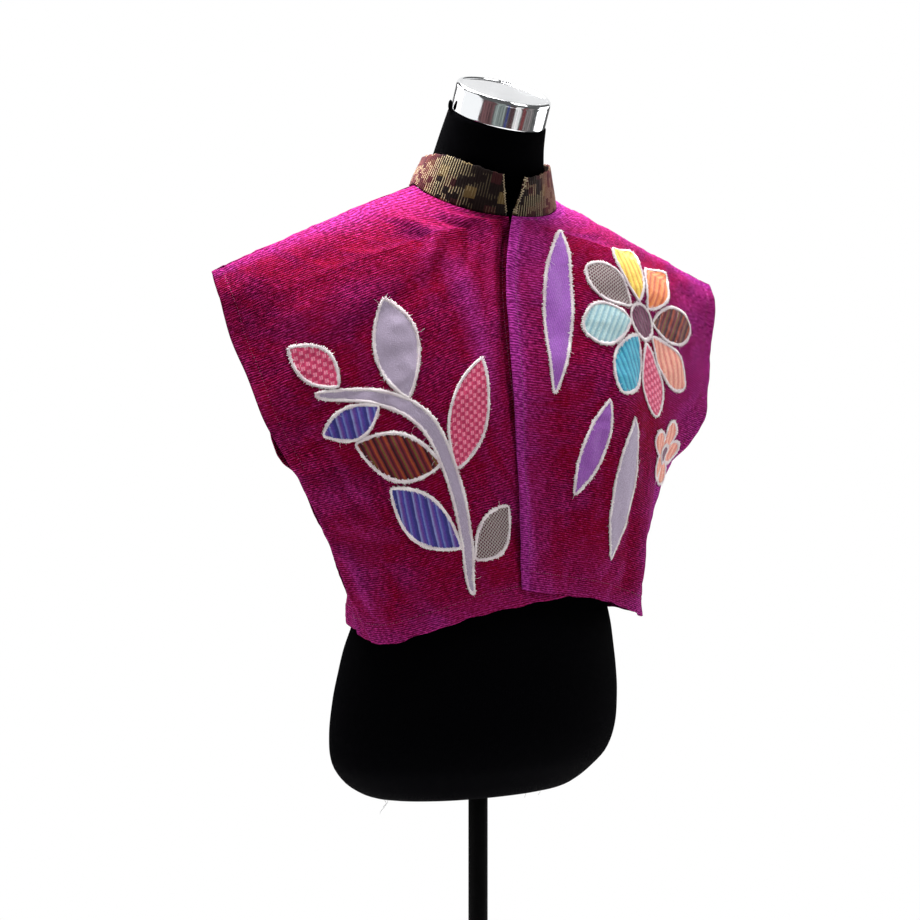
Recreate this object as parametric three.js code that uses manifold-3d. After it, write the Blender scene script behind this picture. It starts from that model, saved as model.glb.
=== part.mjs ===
// Kimono shrug on a limbless dress form.
// Millimetres, +Z up, the front of the garment faces -Y and the wearer's left is +X.
// The origin is the centre of the stand's underside.
// The shrug is a short boxy jacket in kimono cut: a back and two open fronts, each in one
// with its cap sleeve, a stand collar, and applique pieces sewn on both fronts.
import * as THREE from 'three';
import { mergeVertices } from 'three/addons/utils/BufferGeometryUtils.js';
import Module from 'manifold-3d';

const wasm = await Module();
wasm.setup();

// ---------- driving dimensions ----------
const CLOTH = 1.2; // thickness of the handwoven cotton
const COLLAR_CLOTH = 2.2; // two layers and a stiffener
const PATCH_CLOTH = 0.8; // thickness of one applique piece
const GAP = 0.3; // space kept between pieces that touch
const TORSO_BASE = 500; // height of the torso's lower edge above the floor
const POLE_RADIUS = 10.5;
const SOCKET_DEPTH = 80; // how far the pole runs up into the torso
const BASE_RADIUS = 155;
const CAP_RADIUS = 51.5;
const CAP_HEIGHT = 30;
const NECK_TILT = 27; // degrees that the top of the neck leans forward

// Neckline and the collar's upper edge: ellipses seen from above, with the heights of
// their front, side and back points above the torso's lower edge. scoop is how soon the
// edge falls from the side to the front.
const NECKLINE = { width: 85, depth: 62, centreY: -11, front: 607.5, side: 643, back: 652, scoop: 0.7 };
const COLLAR_TOP = { width: 70, depth: 66, centreY: -17.5, front: 648, side: 675, back: 686, scoop: 0 };
const COLLAR_LIFT = 1.4; // the collar starts this far above the neckline

// Cut lengths used to lay out the applique on the flat front
const FRONT_WIDTH = 290; // from front edge to sleeve edge
const FRONT_LENGTH = 440; // from shoulder to hem
const NECK_PART = 0.12; // share of the front's length taken by the neckline
const NECK_ANGLE = { right: 86.4, left: 92 }; // degrees round the neckline to each front edge
const UNDERARM = 0.54; // share of the length where the sleeve edge becomes the side seam
const LEFT_LIFT = 17.5; // the wearer's left sleeve tip and side hang this much higher
const LIFT_CURVE = 1.4; // above 1, most of that lift is gained near the sleeve
const SEAM_SHARE = 0.25; // half of the space between pieces at a seam

// Shares of the length at which the panels have a row of points; fronts and back share the
// rows below the neckline, so that their side seams match.
const BODY_ROWS = [0.12, 0.16, 0.2, 0.25, 0.3, 0.36, 0.42, 0.48, 0.54, 0.62, 0.7, 0.78, 0.86, 0.93, 1];
const FRONT_TOP_ROWS = [0, 0.012, 0.03, 0.05, 0.07, 0.09, 0.105];
const BACK_TOP_ROWS = [0, 0.012, 0.03, 0.06, 0.09];
const FRONT_COLUMNS = 12;
const NECK_COLUMNS = 6; // of the back, on each side of the middle
const SHOULDER_COLUMNS = 6; // of the back, beyond the neckline
const FORM_SIDES = 36;

// ---------- tables ----------
// Torso and neck, bottom to top: height above the lower edge, half width, half depth,
// the section's centre in Y, its squareness (2 is an ellipse) and its forward tilt.
const FORM_SECTIONS = [
  { h: -11, width: 90, depth: 55, y: 20, square: 2.1, tilt: -3 },
  { h: -8, width: 112, depth: 71, y: 20, square: 2.1, tilt: -3 },
  { h: -1, width: 129, depth: 84, y: 21, square: 2.1, tilt: -3 },
  { h: 11, width: 145, depth: 96, y: 20, square: 2.1, tilt: -3 },
  { h: 31, width: 160, depth: 106, y: 14, square: 2.1, tilt: -2 },
  { h: 60, width: 166, depth: 111, y: 7, square: 2.1, tilt: -1 },
  { h: 97, width: 165, depth: 110, y: 1, square: 2.1, tilt: 0 },
  { h: 126, width: 161, depth: 108, y: -3, square: 2.1, tilt: 0 },
  { h: 152, width: 156, depth: 106, y: -6, square: 2.1, tilt: 0 },
  { h: 178, width: 149, depth: 102, y: -11, square: 2.1, tilt: 0 },
  { h: 215, width: 138, depth: 97, y: -13, square: 2.1, tilt: 0 },
  { h: 255, width: 128, depth: 92, y: -14, square: 2.1, tilt: 0 },
  { h: 300, width: 128, depth: 93, y: -14, square: 2.1, tilt: 0 },
  { h: 345, width: 137, depth: 100, y: -15, square: 2.1, tilt: 0 },
  { h: 390, width: 147, depth: 104, y: -16, square: 2.1, tilt: 0 },
  { h: 435, width: 153, depth: 102, y: -14, square: 2.2, tilt: 0 },
  { h: 480, width: 162, depth: 95, y: -11, square: 2.3, tilt: 0 },
  { h: 522, width: 170, depth: 86, y: -8, square: 2.4, tilt: 0 },
  { h: 557, width: 176, depth: 75, y: -6, square: 2.3, tilt: 0 },
  { h: 578, width: 177, depth: 65, y: -6, square: 2.1, tilt: 0 },
  { h: 593, width: 174, depth: 55, y: -6, square: 2, tilt: 0 },
  { h: 603, width: 167.5, depth: 50.5, y: -6, square: 2, tilt: 0 },
  { h: 613, width: 139, depth: 43, y: -4, square: 2, tilt: 0 },
  { h: 622, width: 100, depth: 39, y: -3, square: 2, tilt: 0 },
  { h: 631, width: 80, depth: 41, y: -6, square: 2, tilt: 0 },
  { h: 642, width: 72, depth: 46, y: -10, square: 2, tilt: 2 },
  { h: 653, width: 69, depth: 49, y: -14, square: 2, tilt: 6 },
  { h: 671, width: 62.5, depth: 54, y: -21, square: 2, tilt: 12 },
  { h: 694, width: 57, depth: 54, y: -30, square: 2, tilt: 20 },
  { h: 716, width: 53, depth: 53, y: -41, square: 2, tilt: NECK_TILT },
];

// Front edge below the neckline, from the notch to the hem. x is measured towards the
// piece's own side, so a negative x has crossed the middle.
const RIGHT_EDGE = [
  { t: 0.12, x: 5.4, y: -73, h: 607.8 },
  { t: 0.17, x: 3, y: -77, h: 588 },
  { t: 0.25, x: 12, y: -88.5, h: 552 },
  { t: 0.34, x: 19, y: -101.5, h: 512 },
  { t: 0.51, x: 23, y: -123, h: 432 },
  { t: 0.68, x: 12, y: -127, h: 352 },
  { t: 0.84, x: -15, y: -128, h: 280 },
  { t: 1, x: -42, y: -126.5, h: 212 },
];
const LEFT_EDGE = [
  { t: 0.12, x: -3, y: -74.5, h: 607.5 },
  { t: 0.17, x: -11, y: -83, h: 590 },
  { t: 0.25, x: -24, y: -96, h: 552 },
  { t: 0.34, x: -30, y: -109, h: 507 },
  { t: 0.51, x: -35, y: -129, h: 422 },
  { t: 0.68, x: -32, y: -132.5, h: 350 },
  { t: 0.84, x: -29, y: -133, h: 285 },
  { t: 1, x: -26, y: -132.5, h: 220 },
];

// The two points between front edge and outer edge that every row of the front passes: the
// chest line and the turn towards the side, each with its share of the row's fall in height.
const FRONT_ROWS = [
  { t: 0, chestX: 150, chestY: -6, chestDrop: 0.27, turnX: 240, turnY: -6, turnDrop: 0.665 },
  { t: 0.025, chestX: 138, chestY: -34, chestDrop: 0.22, turnX: 236, turnY: -19, turnDrop: 0.65 },
  { t: 0.06, chestX: 126, chestY: -56, chestDrop: 0.22, turnX: 231, turnY: -31, turnDrop: 0.64 },
  { t: 0.12, chestX: 116, chestY: -75, chestDrop: 0.28, turnX: 222, turnY: -46, turnDrop: 0.66 },
  { t: 0.25, chestX: 106, chestY: -97, chestDrop: 0.25, turnX: 200, turnY: -68, turnDrop: 0.64 },
  { t: 0.34, chestX: 104, chestY: -109, chestDrop: 0.24, turnX: 188, turnY: -80, turnDrop: 0.63 },
  { t: 0.51, chestX: 98, chestY: -124, chestDrop: 0.27, turnX: 170, turnY: -94, turnDrop: 0.68 },
  { t: 0.68, chestX: 88, chestY: -127, chestDrop: 0.32, turnX: 159, turnY: -97, turnDrop: 0.74 },
  { t: 0.84, chestX: 78, chestY: -125, chestDrop: 0.4, turnX: 156, turnY: -93, turnDrop: 0.86 },
  { t: 1, chestX: 74, chestY: -121, chestDrop: 0.42, turnX: 155, turnY: -89, turnDrop: 1.01 },
];

// Outer edges: the sleeve edge of the front and of the back, which hangs steeper, from the
// shoulder tip to the underarm, and the side seam that both share.
const FRONT_SLEEVE = [
  { t: 0, x: 311, y: -6, h: 539 },
  { t: 0.08, x: 308, y: -19, h: 512 },
  { t: 0.18, x: 298.5, y: -24, h: 472 },
  { t: 0.28, x: 285.5, y: -36, h: 433 },
  { t: 0.38, x: 273, y: -47, h: 391 },
  { t: 0.47, x: 254, y: -48, h: 360 },
  { t: 0.54, x: 232, y: -37, h: 334 },
];
const BACK_SLEEVE = [
  { t: 0, x: 311, y: -6, h: 539 },
  { t: 0.08, x: 297, y: 4, h: 512 },
  { t: 0.18, x: 272, y: 9, h: 472 },
  { t: 0.28, x: 253, y: 8, h: 433 },
  { t: 0.38, x: 247, y: 0, h: 391 },
  { t: 0.47, x: 244, y: -17, h: 356 },
  { t: 0.54, x: 232, y: -37, h: 334 },
];
const SIDE_SEAM = [
  { t: 0.54, x: 232, y: -37, h: 334 },
  { t: 0.68, x: 206, y: -37.5, h: 283 },
  { t: 0.81, x: 185.5, y: -39, h: 237 },
  { t: 0.9, x: 175, y: -46, h: 204 },
  { t: 1, x: 161, y: -62, h: 168 },
];

// Rows of the back: the centre line, the shoulder-blade line and the turn to the side.
const BACK_ROWS = [
  { t: 0.025, y: 53, h: 642, bladeX: 122, bladeY: 26, bladeDrop: 0.2, turnX: 232, turnY: 7, turnDrop: 0.63 },
  { t: 0.06, y: 57, h: 626, bladeX: 114, bladeY: 46, bladeDrop: 0.24, turnX: 226, turnY: 18, turnDrop: 0.64 },
  { t: 0.12, y: 65, h: 600, bladeX: 112, bladeY: 58, bladeDrop: 0.26, turnX: 216, turnY: 30, turnDrop: 0.65 },
  { t: 0.25, y: 84, h: 541, bladeX: 112, bladeY: 76, bladeDrop: 0.28, turnX: 195, turnY: 46, turnDrop: 0.66 },
  { t: 0.34, y: 90, h: 500, bladeX: 110, bladeY: 81, bladeDrop: 0.28, turnX: 184, turnY: 49, turnDrop: 0.66 },
  { t: 0.51, y: 94, h: 424, bladeX: 108, bladeY: 84, bladeDrop: 0.28, turnX: 172, turnY: 46, turnDrop: 0.66 },
  { t: 0.68, y: 97, h: 345, bladeX: 104, bladeY: 84, bladeDrop: 0.28, turnX: 159, turnY: 31, turnDrop: 0.66 },
  { t: 0.84, y: 103, h: 265, bladeX: 101, bladeY: 87, bladeDrop: 0.28, turnX: 147, turnY: 22, turnDrop: 0.6 },
  { t: 1, y: 110, h: 184, bladeX: 99, bladeY: 92, bladeDrop: 0.1, turnX: 147.5, turnY: 19, turnDrop: 0.3 },
];

// Applique. Places are in the flat front: u from the front edge towards the sleeve, v from
// the shoulder down. turn is the direction a piece points in, in degrees (0 towards the
// sleeve, 90 down), bend how far it curves, fat how blunt its ends are.
const STEM = { name: 'stem_right', colour: 'lavender', width: 15 };
const STEM_ROUTE = [
  { t: 0, u: 136, v: 412 },
  { t: 0.2, u: 118, v: 352 },
  { t: 0.4, u: 112, v: 290 },
  { t: 0.6, u: 128, v: 230 },
  { t: 0.8, u: 172, v: 186 },
  { t: 1, u: 232, v: 162 },
];
// Leaves of the stem: at is the place along it, side 1 is towards the side seam, spread the
// angle from the stem.
const STEM_LEAVES = [
  { colour: 'blackStripe', at: 0.13, side: -1, spread: 46, length: 76, width: 38, bend: 14 },
  { colour: 'indigoStripe', at: 0.17, side: 1, spread: 54, length: 98, width: 48, bend: -18 },
  { colour: 'pinkCheck', at: 0.42, side: -1, spread: 40, length: 104, width: 50, bend: 14 },
  { colour: 'redStripe', at: 0.46, side: 1, spread: 56, length: 100, width: 46, bend: -20 },
  { colour: 'lavender', at: 0.7, side: -1, spread: 46, length: 98, width: 44, bend: 16 },
  { colour: 'indigoStripe', at: 0.79, side: 1, spread: 48, length: 66, width: 34, bend: -14 },
  { colour: 'pinkCheck', at: 0.93, side: -1, spread: 40, length: 62, width: 33, bend: 10 },
];
const FLOWER = { u: 160, v: 122, start: 21, centre: 18 };
const PETALS = [
  { colour: 'yellow', turn: -112, length: 76, width: 41 },
  { colour: 'orange', turn: -68, length: 76, width: 41 },
  { colour: 'redStripe', turn: -23, length: 72, width: 41 },
  { colour: 'peach', turn: 22, length: 70, width: 41 },
  { colour: 'pinkCheck', turn: 67, length: 72, width: 41 },
  { colour: 'turquoise', turn: 112, length: 72, width: 41 },
  { colour: 'aqua', turn: 157, length: 66, width: 40 },
  { colour: 'blackStripe', turn: -157, length: 62, width: 39 },
];
// Small flower cut in one piece with a round centre on it
const SMALL_FLOWER = { u: 240, v: 240, waist: 17, reach: 40, petals: 5, turn: -90, centre: 11 };
const LEFT_LEAVES = [
  { name: 'leaf_left_1', colour: 'violet', u: 52, v: 52, turn: 86, length: 168, width: 30, bend: 34 },
  { name: 'leaf_left_2', colour: 'lavender', u: 152, v: 228, turn: 94, length: 160, width: 34, bend: 16 },
  { name: 'leaf_left_3', colour: 'violet', u: 112, v: 220, turn: 106, length: 112, width: 28, bend: 22 },
];

// ---------- materials ----------
const finish = (color, roughness, metalness = 0) =>
  new THREE.MeshStandardMaterial({ color, roughness, metalness });
const COTTON = finish(0x8a1250, 0.85);
const COLLAR = finish(0x4a3a2a, 0.85);
const JERSEY = finish(0x0b0b0d, 0.9);
const CHROME = finish(0xc8cacd, 0.12, 1);
const SATIN_BLACK = finish(0x151516, 0.35, 0.6);
const APPLIQUE = {
  lavender: finish(0xa394ad, 0.85),
  pinkCheck: finish(0xd4557f, 0.85),
  redStripe: finish(0x7a1c2c, 0.85),
  indigoStripe: finish(0x3f3f8f, 0.85),
  blackStripe: finish(0x3a2a30, 0.85),
  violet: finish(0x8a3fa6, 0.85),
  turquoise: finish(0x35a6c4, 0.85),
  aqua: finish(0xa9cdd0, 0.85),
  peach: finish(0xe59a86, 0.85),
  yellow: finish(0xe8c53c, 0.85),
  orange: finish(0xe27a35, 0.85),
  plum: finish(0x5c0d3f, 0.85),
};

// ---------- small helpers ----------
const radians = THREE.MathUtils.degToRad;
const lerp = THREE.MathUtils.lerp;

// Steps 0..1 in n equal parts
const steps = (n) => Array.from({ length: n + 1 }, (_, i) => i / n);

// Smooth curve through the rows of a table: each named column is a cubic whose slope at a
// row is the mean of the two neighbouring slopes.
function follow(table, at) {
  const last = table.length - 1;
  const t = Math.min(Math.max(at, table[0].t), table[last].t);
  let i = 0;
  while (i < last - 1 && t > table[i + 1].t) i += 1;
  const [a, b] = [table[i], table[i + 1]];
  const [before, after] = [table[Math.max(i - 1, 0)], table[Math.min(i + 2, last)]];
  const span = b.t - a.t;
  const f = (t - a.t) / span;
  const row = {};
  for (const key of Object.keys(a)) {
    const slopeA = ((b[key] - before[key]) / (b.t - before.t)) * span;
    const slopeB = ((after[key] - a[key]) / (after.t - a.t)) * span;
    row[key] = a[key] * (1 + f * f * (2 * f - 3)) + b[key] * f * f * (3 - 2 * f)
      + slopeA * f * (1 - f) ** 2 - slopeB * f * f * (1 - f);
  }
  return row;
}

// The same smooth curve through a few points, spaced by their distances in plan
function across(points, s) {
  const table = points.map(([x, y, h]) => ({ t: 0, x, y, h }));
  for (let i = 1; i < table.length; i += 1) {
    const [a, b] = [table[i - 1], table[i]];
    table[i].t = a.t + Math.hypot(b.x - a.x, b.y - a.y);
  }
  const length = table[table.length - 1].t;
  for (const row of table) row.t /= length;
  return follow(table, s);
}

// Point of an ellipse round the neck at an angle from the side (0) to the front (90) or,
// below 0, to the back (-90)
function roundNeck(ring, degrees, side) {
  const angle = radians(degrees);
  const rise = Math.sin(angle);
  const scooped = lerp(rise ** 2, 1 - (1 - rise) ** 1.4, ring.scoop);
  const h = degrees > 0
    ? lerp(ring.side, ring.front, scooped)
    : lerp(ring.side, ring.back, rise ** 2);
  return new THREE.Vector3(
    side * ring.width * Math.cos(angle),
    ring.centreY - ring.depth * Math.sin(angle),
    TORSO_BASE + h,
  );
}

// Closed mesh from an outer and an inner grid of points (rows of equal length)
function shell(outer, inner) {
  const rows = outer.length;
  const columns = outer[0].length;
  const position = [...outer.flat(), ...inner.flat()].flatMap((p) => p.toArray());
  const index = [];
  const at = (row, column) => row * columns + column;
  const quad = (a, b, c, d) => index.push(a, b, c, a, c, d);
  const half = rows * columns;
  for (let i = 0; i < rows - 1; i += 1) {
    for (let j = 0; j < columns - 1; j += 1) {
      const [a, b, c, d] = [at(i, j), at(i + 1, j), at(i + 1, j + 1), at(i, j + 1)];
      quad(a, b, c, d);
      quad(half + a, half + d, half + c, half + b);
    }
  }
  for (let i = 0; i < rows - 1; i += 1) {
    const [left, leftNext] = [at(i, 0), at(i + 1, 0)];
    const [right, rightNext] = [at(i, columns - 1), at(i + 1, columns - 1)];
    quad(left, half + left, half + leftNext, leftNext);
    quad(right, rightNext, half + rightNext, half + right);
  }
  for (let j = 0; j < columns - 1; j += 1) {
    const [top, topNext] = [at(0, j), at(0, j + 1)];
    const [low, lowNext] = [at(rows - 1, j), at(rows - 1, j + 1)];
    quad(top, topNext, half + topNext, half + top);
    quad(low, half + low, half + lowNext, lowNext);
  }
  return facesOut(position, index);
}

// Geometry from points and faces, turned so that its faces point outwards
function facesOut(position, index) {
  const p = (i) => new THREE.Vector3().fromArray(position, 3 * i);
  let volume = 0;
  for (let i = 0; i < index.length; i += 3) {
    volume += p(index[i]).dot(p(index[i + 1]).cross(p(index[i + 2])));
  }
  if (volume < 0) {
    for (let i = 0; i < index.length; i += 3) [index[i], index[i + 1]] = [index[i + 1], index[i]];
  }
  const geometry = new THREE.BufferGeometry();
  geometry.setAttribute('position', new THREE.Float32BufferAttribute(position, 3));
  geometry.setIndex(index);
  return geometry;
}

// Unit normals of a grid, from its neighbours' differences, pointing away from the body
function gridNormals(grid, outward) {
  return grid.map((row, i) => row.map((point, j) => {
    const down = grid[Math.min(i + 1, grid.length - 1)][j].clone();
    down.sub(grid[Math.max(i - 1, 0)][j]);
    const side = row[Math.min(j + 1, row.length - 1)].clone();
    side.sub(row[Math.max(j - 1, 0)]);
    const normal = down.cross(side).normalize();
    return normal.dot(outward(point)) < 0 ? normal.negate() : normal;
  }));
}

// Grid moved along its normals
const moved = (grid, normals, distance) =>
  grid.map((row, i) => row.map((p, j) => p.clone().addScaledVector(normals[i][j], distance)));

function toSolid(geometry) {
  const bare = geometry.clone();
  bare.deleteAttribute('normal');
  bare.deleteAttribute('uv');
  const merged = mergeVertices(bare, 1e-4);
  return new wasm.Manifold(new wasm.Mesh({
    numProp: 3,
    vertProperties: new Float32Array(merged.attributes.position.array),
    triVerts: new Uint32Array(merged.index.array),
  }));
}

function fromSolid(solid) {
  const mesh = solid.getMesh();
  const geometry = new THREE.BufferGeometry();
  geometry.setAttribute('position', new THREE.Float32BufferAttribute(mesh.vertProperties, 3));
  geometry.setIndex([...mesh.triVerts]);
  return geometry;
}

const model = new THREE.Group();
function add(name, geometry, material) {
  const mesh = new THREE.Mesh(geometry, material);
  mesh.name = name;
  model.add(mesh);
  return mesh;
}

// ---------- dress form ----------
// Torso and neck lofted through the sections, with a socket for the pole
function formBody() {
  const rings = FORM_SECTIONS.map((section) => {
    const tilt = radians(section.tilt);
    return Array.from({ length: FORM_SIDES }, (_, i) => {
      const angle = (2 * Math.PI * i) / FORM_SIDES;
      const power = 2 / section.square;
      const x = section.width * Math.sign(Math.cos(angle)) * Math.abs(Math.cos(angle)) ** power;
      const y = section.depth * Math.sign(Math.sin(angle)) * Math.abs(Math.sin(angle)) ** power;
      return [x, section.y + y * Math.cos(tilt), TORSO_BASE + section.h + y * Math.sin(tilt)];
    });
  });
  const position = rings.flat(2);
  const index = [];
  for (let i = 0; i < rings.length - 1; i += 1) {
    for (let j = 0; j < FORM_SIDES; j += 1) {
      const next = (j + 1) % FORM_SIDES;
      const [a, b] = [i * FORM_SIDES + j, i * FORM_SIDES + next];
      index.push(a, b, b + FORM_SIDES, a, b + FORM_SIDES, a + FORM_SIDES);
    }
  }
  for (const [ring, section] of [[0, 0], [rings.length - 1, FORM_SECTIONS.length - 1]]) {
    const centre = position.length / 3;
    const { y, h } = FORM_SECTIONS[section];
    position.push(0, y, TORSO_BASE + h);
    for (let j = 0; j < FORM_SIDES; j += 1) {
      const pair = [ring * FORM_SIDES + j, ring * FORM_SIDES + ((j + 1) % FORM_SIDES)];
      if (ring === 0) pair.reverse();
      index.push(centre, ...pair);
    }
  }
  const socket = new THREE.CylinderGeometry(POLE_RADIUS + 0.5, POLE_RADIUS + 0.5, 2 * SOCKET_DEPTH, 28);
  socket.rotateX(Math.PI / 2);
  socket.translate(0, 0, TORSO_BASE);
  return fromSolid(toSolid(facesOut(position, index)).subtract(toSolid(socket)));
}

// Turned piece: a profile of [radius, height] pairs round the Z axis
function turned(profile, sides) {
  const points = profile.map(([r, z]) => new THREE.Vector2(r, z));
  const lathe = new THREE.LatheGeometry(points, sides);
  lathe.rotateX(Math.PI / 2);
  lathe.deleteAttribute('normal');
  lathe.deleteAttribute('uv');
  return mergeVertices(lathe, 1e-4);
}

function neckCap() {
  const wall = CAP_RADIUS;
  const profile = [
    [0, 0], [wall - 0.8, 0], [wall, 0.8], [wall, CAP_HEIGHT - 4], [wall - 1, CAP_HEIGHT - 1.6],
    [wall - 3.4, CAP_HEIGHT - 0.4], [wall * 0.6, CAP_HEIGHT], [0, CAP_HEIGHT + 0.4],
  ];
  return turned(profile, 40);
}

function pole() {
  const top = TORSO_BASE + SOCKET_DEPTH - GAP;
  return turned([[0, 6 + GAP], [POLE_RADIUS, 6 + GAP], [POLE_RADIUS, top], [0, top]], 32);
}

// Round foot with a hub that holds the pole
function base() {
  const bore = POLE_RADIUS + GAP;
  const profile = [
    [0, 0], [BASE_RADIUS - 1.5, 0], [BASE_RADIUS, 1.5], [BASE_RADIUS, 6], [BASE_RADIUS - 2, 8.5],
    [BASE_RADIUS - 8, 10.5], [60, 15], [26, 17], [21, 19], [19, 24], [19, 44], [17.5, 46],
    [bore, 46], [bore, 6], [0, 6],
  ];
  return turned(profile, 48);
}

// ---------- garment ----------
// Front: a point of the outer surface, s from front edge to sleeve edge or side seam,
// t from shoulder seam to hem. Each row is a smooth curve through the front edge, the chest
// line, the turn and the outer edge.
function frontPoint(side, s, t) {
  const left = side > 0;
  const row = follow(FRONT_ROWS, t);
  const outer = follow(t < UNDERARM ? FRONT_SLEEVE : SIDE_SEAM, t);
  let inner;
  if (t < NECK_PART) {
    const angle = (t / NECK_PART) * (left ? NECK_ANGLE.left : NECK_ANGLE.right);
    const ring = roundNeck(NECKLINE, angle, 1);
    inner = { x: ring.x, y: ring.y, h: ring.z - TORSO_BASE };
  } else {
    inner = follow(left ? LEFT_EDGE : RIGHT_EDGE, t);
  }
  const over = left ? -lerp(4, 6, t) * Math.min(1, t / NECK_PART) : 0;
  const place = across([
    [inner.x, inner.y, inner.h],
    [row.chestX, row.chestY + over, lerp(inner.h, outer.h, row.chestDrop)],
    [row.turnX, row.turnY, lerp(inner.h, outer.h, row.turnDrop)],
    [outer.x, outer.y, outer.h],
  ], s);
  if (left) place.h += LEFT_LIFT * s ** LIFT_CURVE;
  const seam = s > 0.999 && t >= UNDERARM ? SEAM_SHARE : 0;
  const shoulder = t < 0.001 ? SEAM_SHARE : 0;
  return new THREE.Vector3(side * place.x, place.y - seam - shoulder, TORSO_BASE + place.h);
}

// Back: s from the centre (0) to the outer edge (1) on one side. Its top edge is the back
// neckline up to the shoulder, then the shoulder seam.
const NECK_SHARE = 1 / 3; // share of the back's half width taken by the neckline
function backPoint(side, s, t) {
  const outer = follow(t < UNDERARM ? BACK_SLEEVE : SIDE_SEAM, t);
  const firstRow = BACK_ROWS[0].t;
  const row = follow(BACK_ROWS, t);
  const place = across([
    [0, row.y, row.h],
    [row.bladeX, row.bladeY, lerp(row.h, outer.h, row.bladeDrop)],
    [row.turnX, row.turnY, lerp(row.h, outer.h, row.turnDrop)],
    [outer.x, outer.y, outer.h],
  ], s);
  if (side > 0) place.h += LEFT_LIFT * s ** LIFT_CURVE;
  const seam = s > 0.999 && t >= UNDERARM ? SEAM_SHARE : 0;
  const low = new THREE.Vector3(side * place.x, place.y + seam, TORSO_BASE + place.h);
  if (t >= firstRow) return low;
  let top;
  if (s < NECK_SHARE) {
    top = roundNeck(NECKLINE, -90 * (1 - s / NECK_SHARE), side);
  } else {
    top = frontPoint(side, (s - NECK_SHARE) / (1 - NECK_SHARE), 0);
    top.y += 2 * SEAM_SHARE;
  }
  return top.lerp(low, t / firstRow);
}

// At a seam both pieces get their thickness along the seam's own direction, so that their
// edges lie side by side.
function seamNormals(normals, grid, edges) {
  normals.forEach((row, i) => row.forEach((normal, j) => {
    if (edges.shoulder(i, j)) normal.set(0, 0, 1);
    if (edges.side(i, j)) normal.set(Math.sign(grid[i][j].x), -0.25, 0).normalize();
  }));
}

function frontGrid(side) {
  const down = [...FRONT_TOP_ROWS, ...BODY_ROWS];
  const columns = steps(FRONT_COLUMNS);
  return { down, columns, points: down.map((t) => columns.map((s) => frontPoint(side, s, t))) };
}

function backGrid() {
  const down = [...BACK_TOP_ROWS, ...BODY_ROWS];
  const half = [
    ...steps(NECK_COLUMNS).map((f) => f * NECK_SHARE),
    ...steps(SHOULDER_COLUMNS).slice(1).map((f) => lerp(NECK_SHARE, 1, f)),
  ];
  const columns = [...half.slice(1).reverse().map((s) => -s), ...half];
  const point = (c, t) => backPoint(c < 0 ? -1 : 1, Math.abs(c), t);
  return { down, columns, points: down.map((t) => columns.map((c) => point(c, t))) };
}

function panel({ down, columns, points }, isBack) {
  const facing = isBack ? 60 : -60;
  const normals = gridNormals(points, (p) => new THREE.Vector3(p.x * 0.3, facing, 40));
  const last = columns.length - 1;
  const neckCorner = isBack ? NECK_SHARE - 0.001 : -1;
  seamNormals(normals, points, {
    shoulder: (i, j) => i === 0 && Math.abs(columns[j]) >= neckCorner,
    side: (i, j) => (j === last || (isBack && j === 0)) && down[i] >= UNDERARM,
  });
  return { points, normals };
}

const shellOf = ({ points, normals }, low, high) =>
  shell(moved(points, normals, high), moved(points, normals, low));

// ---------- collar ----------
// Degrees round the neck, from the side to the front, at which the band ends
const COLLAR_ENDS = { rightLow: 84.6, rightHigh: 76, leftLow: 91, leftHigh: 83 };
function collar() {
  const columns = 42;
  const rows = 3;
  const grid = [];
  for (let i = 0; i <= rows; i += 1) {
    const f = i / rows;
    const first = lerp(COLLAR_ENDS.leftLow, COLLAR_ENDS.leftHigh, f);
    const final = -180 - lerp(COLLAR_ENDS.rightLow, COLLAR_ENDS.rightHigh, f);
    grid.push(steps(columns).map((c) => {
      // degrees round the neck: 90 is the front, 0 the wearer's left side, -90 the back
      const turn = lerp(first, final, c);
      const side = turn >= -90 ? 1 : -1;
      const fold = side > 0 ? turn : -180 - turn;
      const low = roundNeck(NECKLINE, fold, side);
      const high = roundNeck(COLLAR_TOP, fold, side);
      low.z += COLLAR_LIFT;
      return low.lerp(high, f);
    }));
  }
  const centre = (p) => new THREE.Vector3(p.x, p.y - NECKLINE.centreY, 0);
  const normals = gridNormals(grid, centre);
  return shell(grid, moved(grid, normals, -COLLAR_CLOTH));
}

// ---------- applique ----------
// Leaf or petal outline in the flat front: a bent spine with a width that swells and tapers
function leafOutline({ u, v, turn, length, width, bend = 0, fat = 0.8, peak = 1 }) {
  const heading = radians(turn);
  const [along, sideways] = [[Math.cos(heading), Math.sin(heading)], [-Math.sin(heading), Math.cos(heading)]];
  const at = (f, w) => {
    const out = length * f;
    const drift = (bend * f * f) / 2 + w;
    return [u + out * along[0] + drift * sideways[0], v + out * along[1] + drift * sideways[1]];
  };
  const half = (f) => (width / 2) * Math.sin(Math.PI * f ** peak) ** fat;
  const count = 8;
  const up = steps(count).map((f) => at(f, half(f)));
  const down = steps(count).slice(1, -1).reverse().map((f) => at(f, -half(f)));
  return [...up, ...down];
}

function discOutline({ u, v, centre }) {
  return steps(14).slice(1).map((f) => [
    u + centre * Math.cos(2 * Math.PI * f),
    v + centre * Math.sin(2 * Math.PI * f),
  ]);
}

// Place and heading on the stem's route
function onStem(t) {
  const step = 0.005;
  const [here, before, after] = [t, t - step, t + step].map((at) => follow(STEM_ROUTE, at));
  return { ...here, turn: THREE.MathUtils.radToDeg(Math.atan2(after.v - before.v, after.u - before.u)) };
}

// Ribbon along the stem's route that narrows to its two ends
function stemOutline() {
  const sides = [[], []];
  for (const f of steps(18)) {
    const { u, v, turn } = onStem(f);
    const half = (STEM.width / 2) * Math.sin(Math.PI * f) ** 0.35;
    const [du, dv] = [-Math.sin(radians(turn)) * half, Math.cos(radians(turn)) * half];
    sides[0].push([u + du, v + dv]);
    sides[1].push([u - du, v - dv]);
  }
  return [...sides[0], ...sides[1].slice(1, -1).reverse()];
}

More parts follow.
